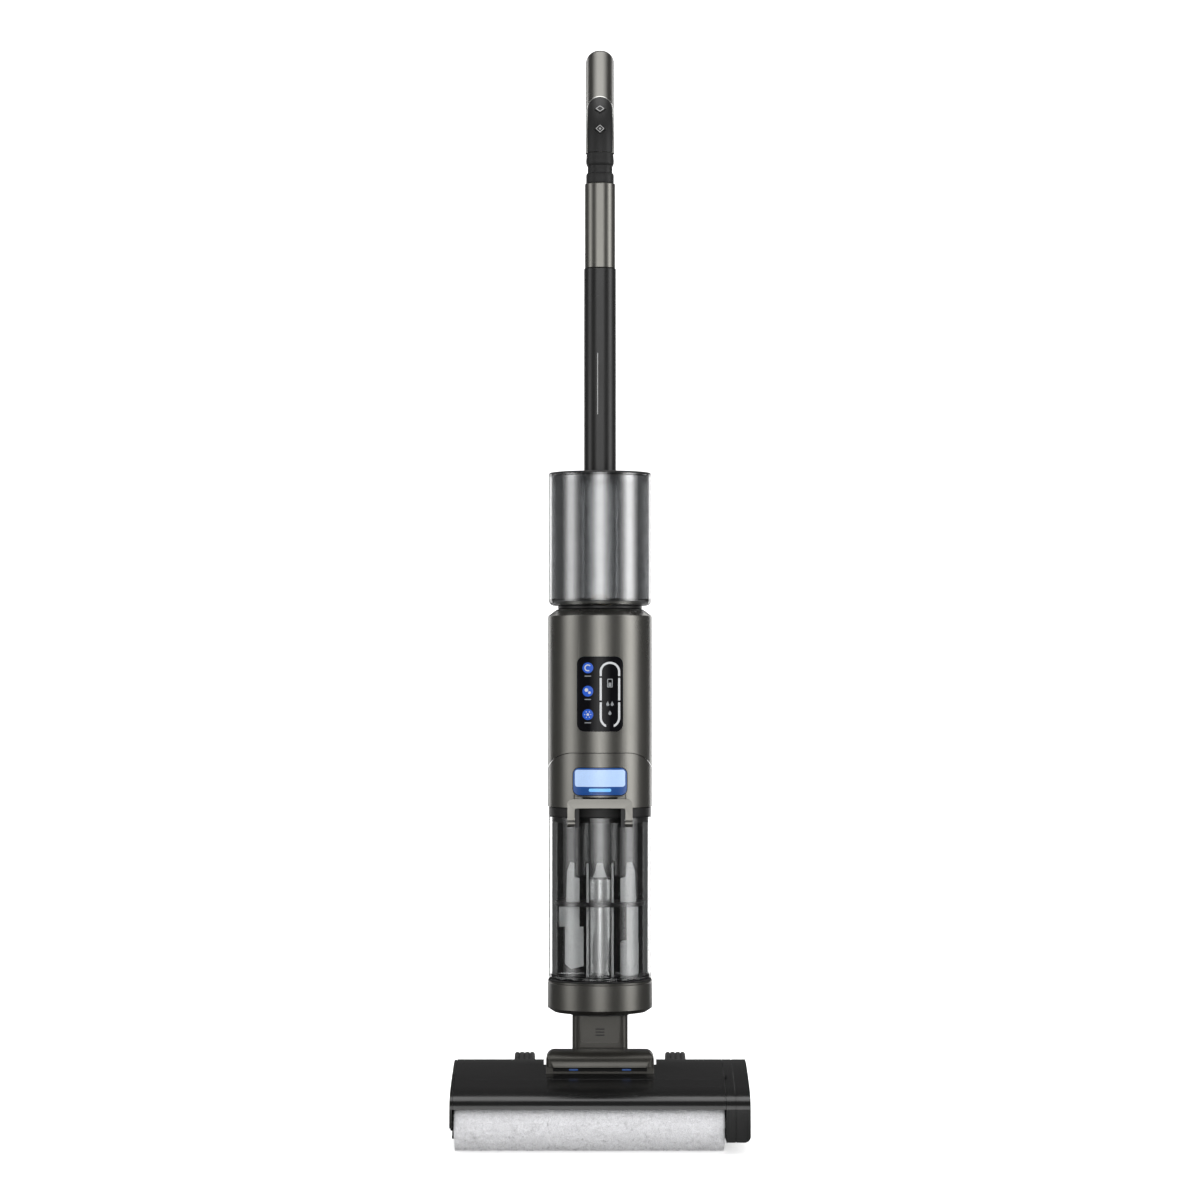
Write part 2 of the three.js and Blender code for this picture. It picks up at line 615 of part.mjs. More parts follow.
function bail() {
  const { half, leg, back, front, pivotY, pivotZ, top, bar } = BAIL;
  const shape = new THREE.Shape();
  const inner = half - leg;
  shape.moveTo(-half, pivotZ);
  shape.absarc(-half + leg / 2, pivotZ, leg / 2, Math.PI, 2 * Math.PI);
  shape.lineTo(-inner, top - bar);
  shape.lineTo(inner, top - bar);
  shape.absarc(half - leg / 2, pivotZ, leg / 2, Math.PI, 2 * Math.PI);
  shape.absarc(half - 4, top - 4, 4, 0, Math.PI / 2);
  shape.absarc(-half + 4, top - 4, 4, Math.PI / 2, Math.PI);
  const frame = common(prismY(shape, front - 3, back), box([-40, front, 300], [40, back, 400]));
  const boss = (x0, x1) => placed(discX(3.6, x0, x1, SMALL), 0, pivotY + 0.4, pivotZ);
  const pin = (x0, x1) => placed(discX(2.2, x0, x1, 12), 0, pivotY, pivotZ);
  return join(frame, boss(-half, -inner), boss(inner, half), pin(-26, -21), pin(21, 26));
}

function dirtyTank() {
  const group = new THREE.Group();
  group.add(
    piece("dirty_tank_cup", dirtyCup(), "smoke"),
    piece("dirty_tank_lid", dirtyLid(), "black"),
    piece("tank_bail", bail(), "paint"),
    at(0, INLET_Y, 0,
      piece("standpipe", standpipe(), "frosted"),
      piece("filter_cage", filterCage(), "black")),
    at(29, -12, 0, piece("tank_float", disc(9, 163.5, 198, FINE), "frosted")),
  );
  return group;
}

// ---------- Upper housing ----------

function upperHousing() {
  const { shoulder, top, neck: neckRadius, plate } = HOUSING;
  const { radius, wall } = BODY;
  const inner = radius - wall;
  const shell = turned([
    [inner, 360], [radius, 360], [radius, shoulder], [neckRadius, top], [0, top], [0, top - plate],
    [neckRadius - 1.3, top - plate], [inner, shoulder - 1.3],
  ]);
  const lensWindow = prismY(
    roundedRect(DISPLAY.width + 0.7, DISPLAY.height + 0.7, DISPLAY.corner + 0.35, 0, DISPLAY.z), -60, -30);
  const exhaust = prismY(roundedRect(40, 40, 4, 0, 417), 30, 60);
  const socketOutline = roundedRect(POLE.width + 0.8, POLE.depth + 0.8, POLE.corner + 0.4, 0, POLE.y);
  const socket = prismZ(socketOutline, 500, 540);
  const drain = placed(disc(8, 500, 540, SMALL), 0, -22, 0);
  return cut(shell, belowSeam(-GAP / 2), lensWindow, exhaust, socket, drain);
}

function exhaustGrille() {
  const outline = roundedRect(39.2, 39.2, 3.6, 0, 417);
  const plate = common(prismY(outline, 30, 60), ring(49, BODY.radius - 0.3, 380, 460));
  const slots = Array.from({ length: 4 }, (_, i) => box([-15, 30, 402 + i * 9], [15, 60, 406 + i * 9]));
  return cut(plate, ...slots);
}

function displayLens() {
  const outline = roundedRect(DISPLAY.width, DISPLAY.height, DISPLAY.corner, 0, DISPLAY.z);
  return common(prismY(outline, -60, -30, 5), ring(49.6, BODY.radius, 380, 500));
}

function batteryPack() {
  const [bottom, top, cell] = [433, 501, 10.4];
  const cells = [];
  for (const x of [-21.4, 0, 21.4]) {
    for (const y of [-10.7, 10.7]) cells.push(placed(disc(cell, bottom, top, 8), x, y, 0));
  }
  const straps = [bottom + 6, top - 9].map((z) => box([-30, -20, z], [30, 20, z + 4]));
  return join(...straps, box([-12, -4, bottom + 2], [12, 4, top - 2]), ...cells);
}

function waterPump() {
  return join(box([-32, -26, 505], [-8, -8, 521]), placed(discX(4, -9, -3, 12), 0, -17, 513));
}

function tankSeat() {
  const { radius, top } = SEAT;
  const groove = box([-CLEAN.grooveHalf, CLEAN.grooveY, 500], [CLEAN.grooveHalf, 60, 600]);
  const well = placed(disc(6.5, 500, 600, SMALL), 0, -22, 0);
  return cut(disc(radius, HOUSING.top + GAP, top), groove, well);
}

function upperBody() {
  const group = new THREE.Group();
  group.add(
    piece("upper_housing", upperHousing(), "paint"),
    piece("exhaust_grille", exhaustGrille(), "black"),
    piece("display_lens", displayLens(), "glass"),
    piece("display_board", box([-21, -43.6, 408], [21, -41.8, 478]), "board"),
    piece("battery_pack", batteryPack(), "cell"),
    piece("water_pump", waterPump(), "black"),
    piece("tank_seat", tankSeat(), "black"),
  );
  return group;
}

// ---------- Clean water tank ----------

function cleanGroove(grow) {
  const half = CLEAN.grooveHalf + grow;
  return box([-half, CLEAN.grooveY - grow, 500], [half, 60, 700]);
}

function cleanShell() {
  const { bottom, top } = CLEAN;
  const { radius, wall } = TANK;
  const inner = radius - wall;
  const outside = turned([[0, bottom], [radius - 5, bottom], [radius - 1.5, bottom + 1.5],
    [radius, bottom + 5], [radius, top], [0, top]]);
  const inside = turned([[0, bottom + wall], [inner - 4, bottom + wall], [inner - 1.2, bottom + wall + 1.2],
    [inner, bottom + wall + 4], [inner, top + 1], [0, top + 1]]);
  const outlet = placed(disc(5.5, 500, 540, SMALL), 0, -22, 0);
  return cut(outside, cleanGroove(0), cut(inside, cleanGroove(wall)), outlet);
}

function cleanLid() {
  const { top, lid } = CLEAN;
  const { radius, wall } = TANK;
  const plate = cut(disc(radius, top + GAP, lid), cleanGroove(0));
  const plug = cut(ring(44, radius - wall - 0.4, top - 6, top + 1), cleanGroove(wall + 0.4));
  return cut(
    join(plate, plug),
    placed(disc(FILL.hole, 600, 700, FINE), 0, FILL.y, 0),
    placed(disc(FILL.cap + 0.8, lid - 1.8, 700, FINE), 0, FILL.y, 0),
    box([-8, FILL.y + 10, lid - 1.8], [8, FILL.hingeY + 2.4, 700]),
  );
}

function fillCap() {
  const { lid } = CLEAN;
  const cap = placed(disc(FILL.cap, lid - 1.5, lid, FINE), 0, FILL.y, 0);
  const plug = placed(disc(FILL.hole - 1.2, lid - 6, lid - 1, FINE), 0, FILL.y, 0);
  const strap = box([-7, FILL.y + 10, lid - 1.5], [7, FILL.hingeY + 0.5, lid]);
  return join(cap, plug, strap);
}

function outletValve() {
  const floor = CLEAN.bottom + TANK.wall + GAP;
  const profile = [[0, 528.2], [4, 528.2], [5, 530], [5, floor], [9, floor], [9, floor + 4], [4, floor + 8],
    [0, floor + 8]];
  return placed(turned(profile, SMALL), 0, -22, 0);
}

function cleanTank() {
  const group = new THREE.Group();
  group.add(
    piece("clean_tank_shell", cleanShell(), "clear"),
    piece("clean_tank_lid", cleanLid(), "black"),
    piece("fill_cap", fillCap(), "rubber"),
    piece("outlet_valve", outletValve(), "brass"),
  );
  return group;
}

// ---------- Pole and grip ----------

function tube({ width, depth, corner }, wall, z0, z1) {
  const outer = prismZ(roundedRect(width, depth, corner, 0, POLE.y), z0, z1, 5);
  const bore = roundedRect(width - 2 * wall, depth - 2 * wall, corner - wall, 0, POLE.y);
  const inner = prismZ(bore, z0 - 1, z1 + 1, 5);
  return cut(outer, inner);
}

function gripStem() {
  const steps = [[28, 26, 958.3, 975], [26, 24, 974, 982], [28, 26, 981, 985], [27, 25, 984, 988.7]];
  return join(...steps.map(([width, depth, z0, z1]) =>
    prismZ(roundedRect(width, depth, 10, 0, POLE.y), z0, z1, 2)));
}

// Centre line of the grip at a length along it: it bends back, then runs straight.
function gripPoint(length) {
  const { start, bend, angle, straight } = GRIP;
  const turn = THREE.MathUtils.clamp(length / bend, 0, angle);
  const past = THREE.MathUtils.clamp(length - bend * angle, -straight, straight) * (length > bend * angle);
  const y = POLE.y + bend * (1 - Math.cos(turn)) + past * Math.sin(turn);
  const z = start + Math.min(length, 0) + bend * Math.sin(turn) + past * Math.cos(turn);
  return new THREE.Vector3(0, y, z);
}

const GRIP_LENGTH = GRIP.bend * GRIP.angle + GRIP.straight;
const PANEL_STEPS = 6;

// One stretch of that centre line as a curve.
class GripLine extends THREE.Curve {
  constructor(from, to) {
    super();
    this.from = from;
    this.to = to;
  }

  getPoint(t) {
    return gripPoint(this.from + (this.to - this.from) * t);
  }

  // A section's first axis stays across the grip, and its second points to the front of it.
  computeFrenetFrames(segments) {
    const tangents = Array.from({ length: segments + 1 }, (_, i) => this.getTangentAt(i / segments));
    const normals = tangents.map(() => new THREE.Vector3(-1, 0, 0));
    const binormals = tangents.map((tangent, i) => new THREE.Vector3().crossVectors(tangent, normals[i]));
    return { tangents, normals, binormals };
  }
}

// A section (x, towards the front) swept along part of the grip's centre line.
function swept(section, from, to, steps) {
  const extrudePath = new GripLine(from, to);
  return new THREE.ExtrudeGeometry(section, { steps, extrudePath, bevelEnabled: false, curveSegments: 3 });
}

// A form drawn about the grip's centre line, with its front towards -Y, moved to an angle of the bend.
function onBend(form, angle) {
  const { y, z } = gripPoint(GRIP.bend * angle);
  return form.rotateX(-angle).translate(0, y, z);
}

// The region of the panel, `grow` larger all round: straight sides and an arched top, seen from the front.
function panelRegion(grow, from) {
  const half = PANEL.half + grow;
  const front = new THREE.Shape();
  front.moveTo(-half, GRIP.start - 5);
  front.lineTo(half, GRIP.start - 5);
  front.lineTo(half, PANEL.archZ);
  front.absellipse(0, PANEL.archZ, half, PANEL.topZ + grow - PANEL.archZ, 0, Math.PI);
  const band = polygon([[-half, PANEL.edge - grow], [half, PANEL.edge - grow], [half, 16], [-half, 16]]);
  return common(prismY(front, -60, 60, 8), swept(band, from, PANEL.to + 6, PANEL_STEPS));
}

// The grip's section drawn `inset` inside its skin.
function gripSection(inset) {
  const { width, depth, corner } = GRIP_SECTION;
  return roundedRect(width - 2 * inset, depth - 2 * inset, corner - inset);
}

function gripShell() {
  const { width, depth } = GRIP_SECTION;
  const body = swept(gripSection(0), 0, GRIP_LENGTH, 9);
  const end = new THREE.SphereGeometry(1, 16, 10).scale(width / 2 - 0.1, depth / 2 - 0.1, GRIP.end);
  const { y, z } = gripPoint(GRIP_LENGTH - GRIP.sunk);
  const core = swept(gripSection(PANEL.thick + GAP), -3, PANEL.to + 8, PANEL_STEPS);
  const cavity = swept(polygon([[-8, 8], [8, 8], [8, 14], [-8, 14]]), PANEL.from + 5, PANEL.to - 9, 4);
  const grip = join(body, end.rotateX(-GRIP.angle).translate(0, y, z));
  return cut(grip, cut(panelRegion(GAP, -2), core), cavity);
}

function diamond(size, y0, y1) {
  const half = size / 2;
  return prismY(polygon([[half, 0], [0, half], [-half, 0], [0, -half]]), y0, y1);
}

function gripPanel() {
  const skin = swept(gripSection(0.1), -3, PANEL.to + 8, PANEL_STEPS);
  const core = swept(gripSection(PANEL.thick), -3, PANEL.to + 8, PANEL_STEPS);
  const plate = cut(common(panelRegion(0, PANEL.from), skin), core);
  const holes = Object.values(BUTTON_ANGLES).map((angle) =>
    onBend(diamond(BUTTON.size + 1.6, -20, -6), angle));
  return cut(plate, ...holes);
}

function gripButton(name) {
  const front = -GRIP_SECTION.depth / 2 - BUTTON.proud;
  const button = piece(name, diamond(BUTTON.size, front, -BUTTON.base), "black");
  const angle = BUTTON_ANGLES[name.split("_")[0]];
  const { y, z } = gripPoint(GRIP.bend * angle);
  button.position.set(0, y, z);
  button.rotation.x = -angle;
  return button;
}

function handle() {
  const group = new THREE.Group();
  group.add(
    piece("pole", tube(POLE, POLE.wall, POLE.bottom, POLE.top), "pole"),
    piece("pole_collar", tube(COLLAR, 2, POLE.top + GAP, COLLAR.top), "paint"),
    piece("grip_stem", gripStem(), "black"),
    piece("grip_shell", gripShell(), "paint"),
    piece("grip_panel", gripPanel(), "gloss"),
    gripButton("mode_button"),
    gripButton("power_button"),
  );
  return group;
}

const scrubber = new THREE.Group();
scrubber.add(floorHead(), neck(), lowerBody(), dirtyTank(), upperBody(), cleanTank(), handle());

export default scrubber;
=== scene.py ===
"""Looks of the wet dry floor scrubber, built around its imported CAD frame.

Lengths are in mm until a mesh is made; the camera and lights are in metres.
"""

import math
import random

import bmesh
import bpy
from mathutils import Matrix, Vector, noise


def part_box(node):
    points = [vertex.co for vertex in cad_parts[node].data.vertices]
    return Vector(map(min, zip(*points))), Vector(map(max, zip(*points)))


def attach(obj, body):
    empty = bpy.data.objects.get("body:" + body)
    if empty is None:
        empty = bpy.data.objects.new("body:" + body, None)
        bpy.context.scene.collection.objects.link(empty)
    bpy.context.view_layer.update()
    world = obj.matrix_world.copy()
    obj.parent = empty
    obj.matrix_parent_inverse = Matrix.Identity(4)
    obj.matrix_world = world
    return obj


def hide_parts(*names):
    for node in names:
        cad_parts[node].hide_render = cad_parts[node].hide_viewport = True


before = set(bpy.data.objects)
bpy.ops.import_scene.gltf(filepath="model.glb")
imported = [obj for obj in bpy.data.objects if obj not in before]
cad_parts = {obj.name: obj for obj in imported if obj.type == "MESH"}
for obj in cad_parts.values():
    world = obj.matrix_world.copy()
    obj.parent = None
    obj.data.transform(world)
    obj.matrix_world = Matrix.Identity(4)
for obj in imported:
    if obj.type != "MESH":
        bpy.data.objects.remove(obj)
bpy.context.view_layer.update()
MM = 0.001
ROUND = 128  # sides of the large round pieces
GAP = 0.3  # air between two pieces that touch
TUFTS = 30000
CAMERA_PLACE, CAMERA_TARGET = (0, -3.5, 0.46), (0, 0, 0.537)
LENS, SENSOR = 105, 36
LIGHT_Z, LIGHT_HEIGHT = 1.07, 2.25
HINGE = (0, 20, 45)  # middle of the tilt axis
VALVE = (0, -22, 0)  # upright axis of the clean tank's outlet
FILL = (0, -24, 0)  # upright axis of the filling hole
BAIL_Y, BAIL_Z = -57, 316  # swing axis of the bail
random.seed(7)


def node_box(*names):
    """Lowest and highest corners of CAD nodes, in mm."""
    corners = [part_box(name) for name in names]
    low = Vector([min(c[0][i] for c in corners) / MM for i in range(3)])
    high = Vector([max(c[1][i] for c in corners) / MM for i in range(3)])
    return low, high


# ---------- Meshes ----------


def linked(name, data):
    obj = bpy.data.objects.new(name, data)
    bpy.context.scene.collection.objects.link(obj)
    return obj


def new_object(bm, name="part"):
    bmesh.ops.remove_doubles(bm, verts=bm.verts, dist=1e-4)
    bmesh.ops.recalc_face_normals(bm, faces=bm.faces)
    bm.transform(Matrix.Scale(MM, 4))
    mesh = bpy.data.meshes.new(name)
    bm.to_mesh(mesh)
    bm.free()
    return linked(name, mesh)


def from_rings(rings, closed_ends=True, loop=False):
    """A skin through rings of points. The ends are capped, or joined to each other when loop is set."""
    bm = bmesh.new()
    rows = [[bm.verts.new(p) for p in ring] for ring in rings]
    pairs = list(zip(rows, rows[1:])) + ([(rows[-1], rows[0])] if loop else [])
    for low, high in pairs:
        count = len(low)
        for i in range(count):
            bm.faces.new((low[i], low[(i + 1) % count], high[(i + 1) % count], high[i]))
    if closed_ends and not loop:
        bm.faces.new(list(reversed(rows[0])))
        bm.faces.new(rows[-1])
    return new_object(bm)


def lathe(profile, axis="Z", centre=(0, 0, 0), sides=ROUND):
    """A closed profile of (radius, height) turned about an axis through centre."""
    bm = bmesh.new()
    rows = []
    for r, h in profile:
        row = []
        for i in range(sides):
            a = 2 * math.pi * i / sides
            u, v = r * math.cos(a), r * math.sin(a)
            point = (u, v, h) if axis == "Z" else (h, u, v)
            row.append(bm.verts.new(Vector(point) + Vector(centre)))
        rows.append(row)
    for low, high in zip(rows, rows[1:] + rows[:1]):
        for i in range(sides):
            j = (i + 1) % sides
            bm.faces.new((low[i], low[j], high[j], high[i]))
    bmesh.ops.remove_doubles(bm, verts=bm.verts, dist=1e-4)
    bmesh.ops.dissolve_degenerate(bm, edges=bm.edges, dist=1e-5)
    return new_object(bm)


def disc(radius, low, high, axis="Z", centre=(0, 0, 0), sides=64):
    return lathe([(0, low), (radius, low), (radius, high), (0, high)], axis, centre, sides)


def ring(inner, outer, low, high, axis="Z", centre=(0, 0, 0), sides=ROUND):
    return lathe([(inner, low), (outer, low), (outer, high), (inner, high)], axis, centre, sides)


def prism(outline, low, high, axis):
    """An outline extruded along an axis: (y, z) along X, (x, z) along Y, (x, y) along Z."""
    place = {
        "X": lambda a, b, h: (h, a, b),
        "Y": lambda a, b, h: (a, h, b),
        "Z": lambda a, b, h: (a, b, h),
    }[axis]
    return from_rings([[place(a, b, h) for a, b in outline] for h in (low, high)])


def box(low, high):
    outline = [(low[0], low[1]), (high[0], low[1]), (high[0], high[1]), (low[0], high[1])]
    return prism(outline, low[2], high[2], "Z")


def arc(centre, radius, start, end, steps=10):
    """Points of an arc, its angles in degrees."""
    angles = [math.radians(start + (end - start) * i / steps) for i in range(steps + 1)]
    return [(centre[0] + radius * math.cos(t), centre[1] + radius * math.sin(t)) for t in angles]


def rounded(width, height, radius, centre=(0, 0), steps=8):
    w, h = width / 2 - radius, height / 2 - radius
    corners = [(w, h, 0), (-w, h, 90), (-w, -h, 180), (w, -h, 270)]
    points = []
    for x, y, start in corners:
        points += arc((centre[0] + x, centre[1] + y), radius, start, start + 90, steps)
    return points


def round_foot(edge, foot, radius, degrees):
    """Profile points that curve from a flat foot up into an upright edge."""
    turns = [math.radians(t) for t in degrees]
    return [(edge - radius + radius * math.sin(t), foot + radius - radius * math.cos(t)) for t in turns]


def bezier(p0, p1, p2, p3, steps=16):
    points = []
    for i in range(1, steps + 1):
        t = i / steps
        k = ((1 - t) ** 3, 3 * t * (1 - t) ** 2, 3 * t * t * (1 - t), t**3)
        points.append(tuple(k[0] * a + k[1] * b + k[2] * c + k[3] * d for a, b, c, d in zip(p0, p1, p2, p3)))
    return points


def apply_modifiers(obj):
    graph = bpy.context.evaluated_depsgraph_get()
    mesh = bpy.data.meshes.new_from_object(obj.evaluated_get(graph))
    obj.modifiers.clear()
    obj.data = mesh
    return obj


def boolean(operation, first, tools):
    for tool in tools:
        modifier = first.modifiers.new(operation, "BOOLEAN")
        modifier.operation = operation
        modifier.solver = "EXACT"
        modifier.object = tool
        apply_modifiers(first)
        bpy.data.objects.remove(tool)
    return first


def cut(first, *tools):
    return boolean("DIFFERENCE", first, tools)


def join(first, *others):
    return boolean("UNION", first, others)


def common(first, *others):
    return boolean("INTERSECT", first, others)


def smooth(obj, degrees=32):
    """Smooth shading, with edges kept sharp where the faces turn more than this."""
    bm = bmesh.new()
    bm.from_mesh(obj.data)
    for face in bm.faces:
        face.smooth = True
    for edge in bm.edges:
        edge.smooth = not (len(edge.link_faces) == 2 and edge.calc_face_angle(0) > math.radians(degrees))
    bm.to_mesh(obj.data)
    bm.free()
    return obj


def soften(obj, width=0.5, segments=3, degrees=32):
    """Rounded edges, with flat faces left looking flat."""
    bevel = obj.modifiers.new("edges", "BEVEL")
    bevel.width = width * MM
    bevel.segments = segments
    bevel.limit_method = "ANGLE"
    bevel.angle_limit = math.radians(degrees)
    bevel.miter_outer = "MITER_ARC"
    normals = obj.modifiers.new("normals", "WEIGHTED_NORMAL")
    normals.keep_sharp = True
    return obj


def piece(obj, name, body, slot, material, replaces=(), edge=0.5, degrees=32):
    """Names a finished mesh, gives it its material, and ties it to its CAD body."""
    obj.name = name
    obj.data.materials.clear()
    obj.data.materials.append(material)
    smooth(obj, degrees)
    if edge:
        soften(obj, edge, degrees=degrees)
    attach(obj, body)
    if replaces:
        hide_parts(*replaces)
    return obj


# ---------- Materials ----------


def shader_node(tree, kind, **inputs):
    """A shader node. Each input takes a value, or the output socket that feeds it."""
    node = tree.nodes.new("ShaderNode" + kind)
    for key, value in inputs.items():
        socket = node.inputs[key.replace("_", " ")]
        if isinstance(value, bpy.types.NodeSocket):
            tree.links.new(value, socket)
        else:
            socket.default_value = value
    return node


def material(name, color, roughness, metallic=0.0, grain=900, bump=0.02, vary=0.12, rough_vary=0.06, wear=0.0,
             **settings):
    """A surface with its own colour variation, roughness variation and fine bump, and lighter worn edges."""
    made = bpy.data.materials.new(name)
    made.use_nodes = True
    tree = made.node_tree
    nodes, links = tree.nodes, tree.links
    shader = nodes["Principled BSDF"]
    shader.inputs["Metallic"].default_value = metallic
    for key, value in settings.items():
        shader.inputs[key.replace("_", " ")].default_value = value
    place = shader_node(tree, "TexCoord").outputs["Object"]
    fine = shader_node(tree, "TexNoise", Scale=grain, Detail=3, Vector=place).outputs["Fac"]
    cloud = shader_node(tree, "TexNoise", Scale=14, Detail=4, Vector=place).outputs["Fac"]

    def spread(source, low, high):
        node = shader_node(tree, "MapRange", From_Min=0.3, From_Max=0.7, To_Min=low, To_Max=high,
                           Value=source)
        return node.outputs["Result"]

    mix = nodes.new("ShaderNodeMix")
    mix.data_type = "RGBA"
    mix.inputs["A"].default_value = (*[c * (1 - vary) for c in color], 1)
    mix.inputs["B"].default_value = (*[min(1, c * (1 + vary)) for c in color], 1)
    links.new(spread(fine, 0, 1), mix.inputs["Factor"])
    tint = mix.outputs["Result"]
    if wear:
        corners = shader_node(tree, "NewGeometry").outputs["Pointiness"]
        edge = shader_node(tree, "MapRange", From_Min=0.52, From_Max=0.62, To_Max=wear, Value=corners)
        worn = nodes.new("ShaderNodeMix")
        worn.data_type = "RGBA"
        worn.inputs["B"].default_value = (*[min(1, c * 1.8 + 0.05) for c in color], 1)
        links.new(edge.outputs["Result"], worn.inputs["Factor"])
        links.new(tint, worn.inputs["A"])
        tint = worn.outputs["Result"]
    links.new(tint, shader.inputs["Base Color"])
    links.new(spread(cloud, max(0.01, roughness - rough_vary), roughness + rough_vary),
              shader.inputs["Roughness"])
    if bump:
        relief = shader_node(tree, "Bump", Strength=bump, Distance=0.0004, Height=fine)
        links.new(relief.outputs["Normal"], shader.inputs["Normal"])
    return made


def lit(name, color, strength, **settings):
    made = material(name, color, 0.25, vary=0.06, bump=0.01, **settings)
    shader = made.node_tree.nodes["Principled BSDF"]
    shader.inputs["Emission Color"].default_value = (*color, 1)
    shader.inputs["Emission Strength"].default_value = strength
    return made


def clear(name, color, index, roughness=0.03):
    made = material(name, color, roughness, vary=0.03, rough_vary=0.015, bump=0.004, grain=60)
    shader = made.node_tree.nodes["Principled BSDF"]
    shader.inputs["Transmission Weight"].default_value = 1.0
    shader.inputs["IOR"].default_value = index
    return made


PAINT = material("warm_grey_metallic", (0.140, 0.137, 0.126), 0.29, 0.88, grain=2400, bump=0.002, vary=0.08,
                 wear=0.2, rough_vary=0.03)
DARK_PAINT = material("dark_warm_metallic", (0.042, 0.040, 0.035), 0.34, 0.6, grain=1600, bump=0.008,
                      vary=0.2, wear=0.25)
POLE_PAINT = material("black_satin", (0.012, 0.012, 0.012), 0.30, grain=1400, bump=0.008, vary=0.2, wear=0.15,
                      Specular_IOR_Level=0.3)
SATIN = material("satin_black", (0.012, 0.012, 0.012), 0.50, grain=1300, bump=0.02, vary=0.15, wear=0.1,
                 Specular_IOR_Level=0.3)
# Near-black matt surface for painted shade: the dark back of the dirty cup, the body seen dark through the
# cup, and the shadow under the cowl's lip.
SHADE_BLACK = material("painted_shade_black", (0.006, 0.006, 0.006), 0.6, grain=1300, bump=0.03, vary=0.2,
                  Specular_IOR_Level=0.1)
GLOSS = material("gloss_black", (0.007, 0.007, 0.007), 0.20, grain=300, bump=0.004, rough_vary=0.03,
                 wear=0.08, Specular_IOR_Level=0.45)
BLACK = material("black_plastic", (0.010, 0.010, 0.010), 0.42, grain=1300, bump=0.08, vary=0.2, wear=0.15,
                 Specular_IOR_Level=0.3)
GREY = material("grey_plastic", (0.20, 0.20, 0.20), 0.42, grain=1200, bump=0.08, wear=0.15)
RUBBER = material("rubber", (0.014, 0.014, 0.014), 0.72, grain=700, bump=0.18, vary=0.25)
TYRE = material("tyre", (0.020, 0.020, 0.020), 0.66, grain=500, bump=0.22, vary=0.25)
FROSTED = material("frosted_plastic", (0.80, 0.81, 0.81), 0.32, grain=420, bump=0.03, vary=0.06,
                   Transmission_Weight=0.35)
SMOKE = clear("smoke_clear", (0.62, 0.63, 0.64), 2.0, 0.11)
CLEAR = clear("clear_cup", (0.93, 0.94, 0.94), 1.45)
TUBE = clear("clear_tube", (0.88, 0.89, 0.89), 1.9, 0.14)
STEEL = material("turned_steel", (0.52, 0.52, 0.53), 0.28, 1.0, grain=1500, bump=0.05, vary=0.15)
BRASS = material("brass", (0.62, 0.42, 0.16), 0.28, 1.0, grain=1200, bump=0.05, vary=0.12)
GLASS = material("display_glass", (0.004, 0.004, 0.005), 0.08, grain=60, bump=0.002, rough_vary=0.02,
                 Specular_IOR_Level=0.12)
BOARD = material("solder_mask", (0.01, 0.09, 0.04), 0.45, grain=700, bump=0.1, vary=0.4)
CELL = material("shrink_sleeve", (0.05, 0.17, 0.28), 0.40, grain=300, bump=0.04)
# The sleeve colour is darker than the tufts' tips: painted shade in the gaps between the tufts.
PILE = material("microfibre", (0.78, 0.78, 0.80), 0.95, grain=1500, bump=0.6, vary=0.25, Sheen_Weight=0.3)
PILE_TIP = material("microfibre_tips", (0.93, 0.93, 0.95), 0.95, grain=210, bump=0.2, vary=0.42,
                    Sheen_Weight=0.3)
BUTTON_LIT = lit("button_window", (0.34, 0.47, 0.70), 0.30)
BUTTON_BLUE = lit("button_glow", (0.003, 0.04, 0.17), 0.5)
BUTTON_CORE = lit("button_core", (0.12, 0.36, 0.70), 0.5)
ICON_BLUE = lit("icon_blue", (0.008, 0.055, 0.32), 0.6)
ICON_WHITE = lit("icon_white", (0.42, 0.43, 0.44), 0.3)
ICON_DIM = lit("icon_dim", (0.20, 0.21, 0.22), 0.2)
LED = lit("headlight", (0.006, 0.035, 0.14), 0.45)
TRIM = material("bright_trim", (0.50, 0.50, 0.48), 0.30, 0.9, grain=1500, bump=0.01, vary=0.08)
MARK = material("mark_grey", (0.30, 0.30, 0.30), 0.4, grain=600)

# ---------- Camera, light, floor ----------


def aimed(name, data, place, target):
    """Puts a camera or light in the scene, turned to its target."""
    obj = linked(name, data)
    obj.location = place
    obj.rotation_euler = (Vector(target) - Vector(place)).to_track_quat("-Z", "Y").to_euler()
    return obj


def camera():
    data = bpy.data.cameras.new("camera")
    data.lens = LENS
    data.sensor_width = SENSOR
    bpy.context.scene.camera = aimed("camera", data, CAMERA_PLACE, CAMERA_TARGET)


def area(name, place, target, width, height, radiance):
    """A softbox. Its radiance is that of a white surface seen at this level."""
    data = bpy.data.lights.new(name, "AREA")
    data.shape = "RECTANGLE"
    data.size = width
    data.size_y = height
    data.energy = radiance * math.pi * width * height
    aimed(name, data, place, target)


def around(name, degrees, distance, width, radiance):
    """A tall softbox at an angle from the camera's side, turned to the body."""
    a = math.radians(degrees)
    place = (distance * math.sin(a), -distance * math.cos(a), LIGHT_Z)
    area(name, place, (0, 0, LIGHT_Z), width, LIGHT_HEIGHT, radiance)


def faded(name, degrees, distance, width, radiance):
    """Tall softboxes one inside the next, so that the light fades towards its sides."""
    for k, (part, share) in enumerate(((1.15, 0.14), (0.86, 0.2), (0.62, 0.3), (0.36, 0.36))):
        around(f"{name}_{k + 1}", degrees, distance + 0.01 * k, width * part, radiance * share)


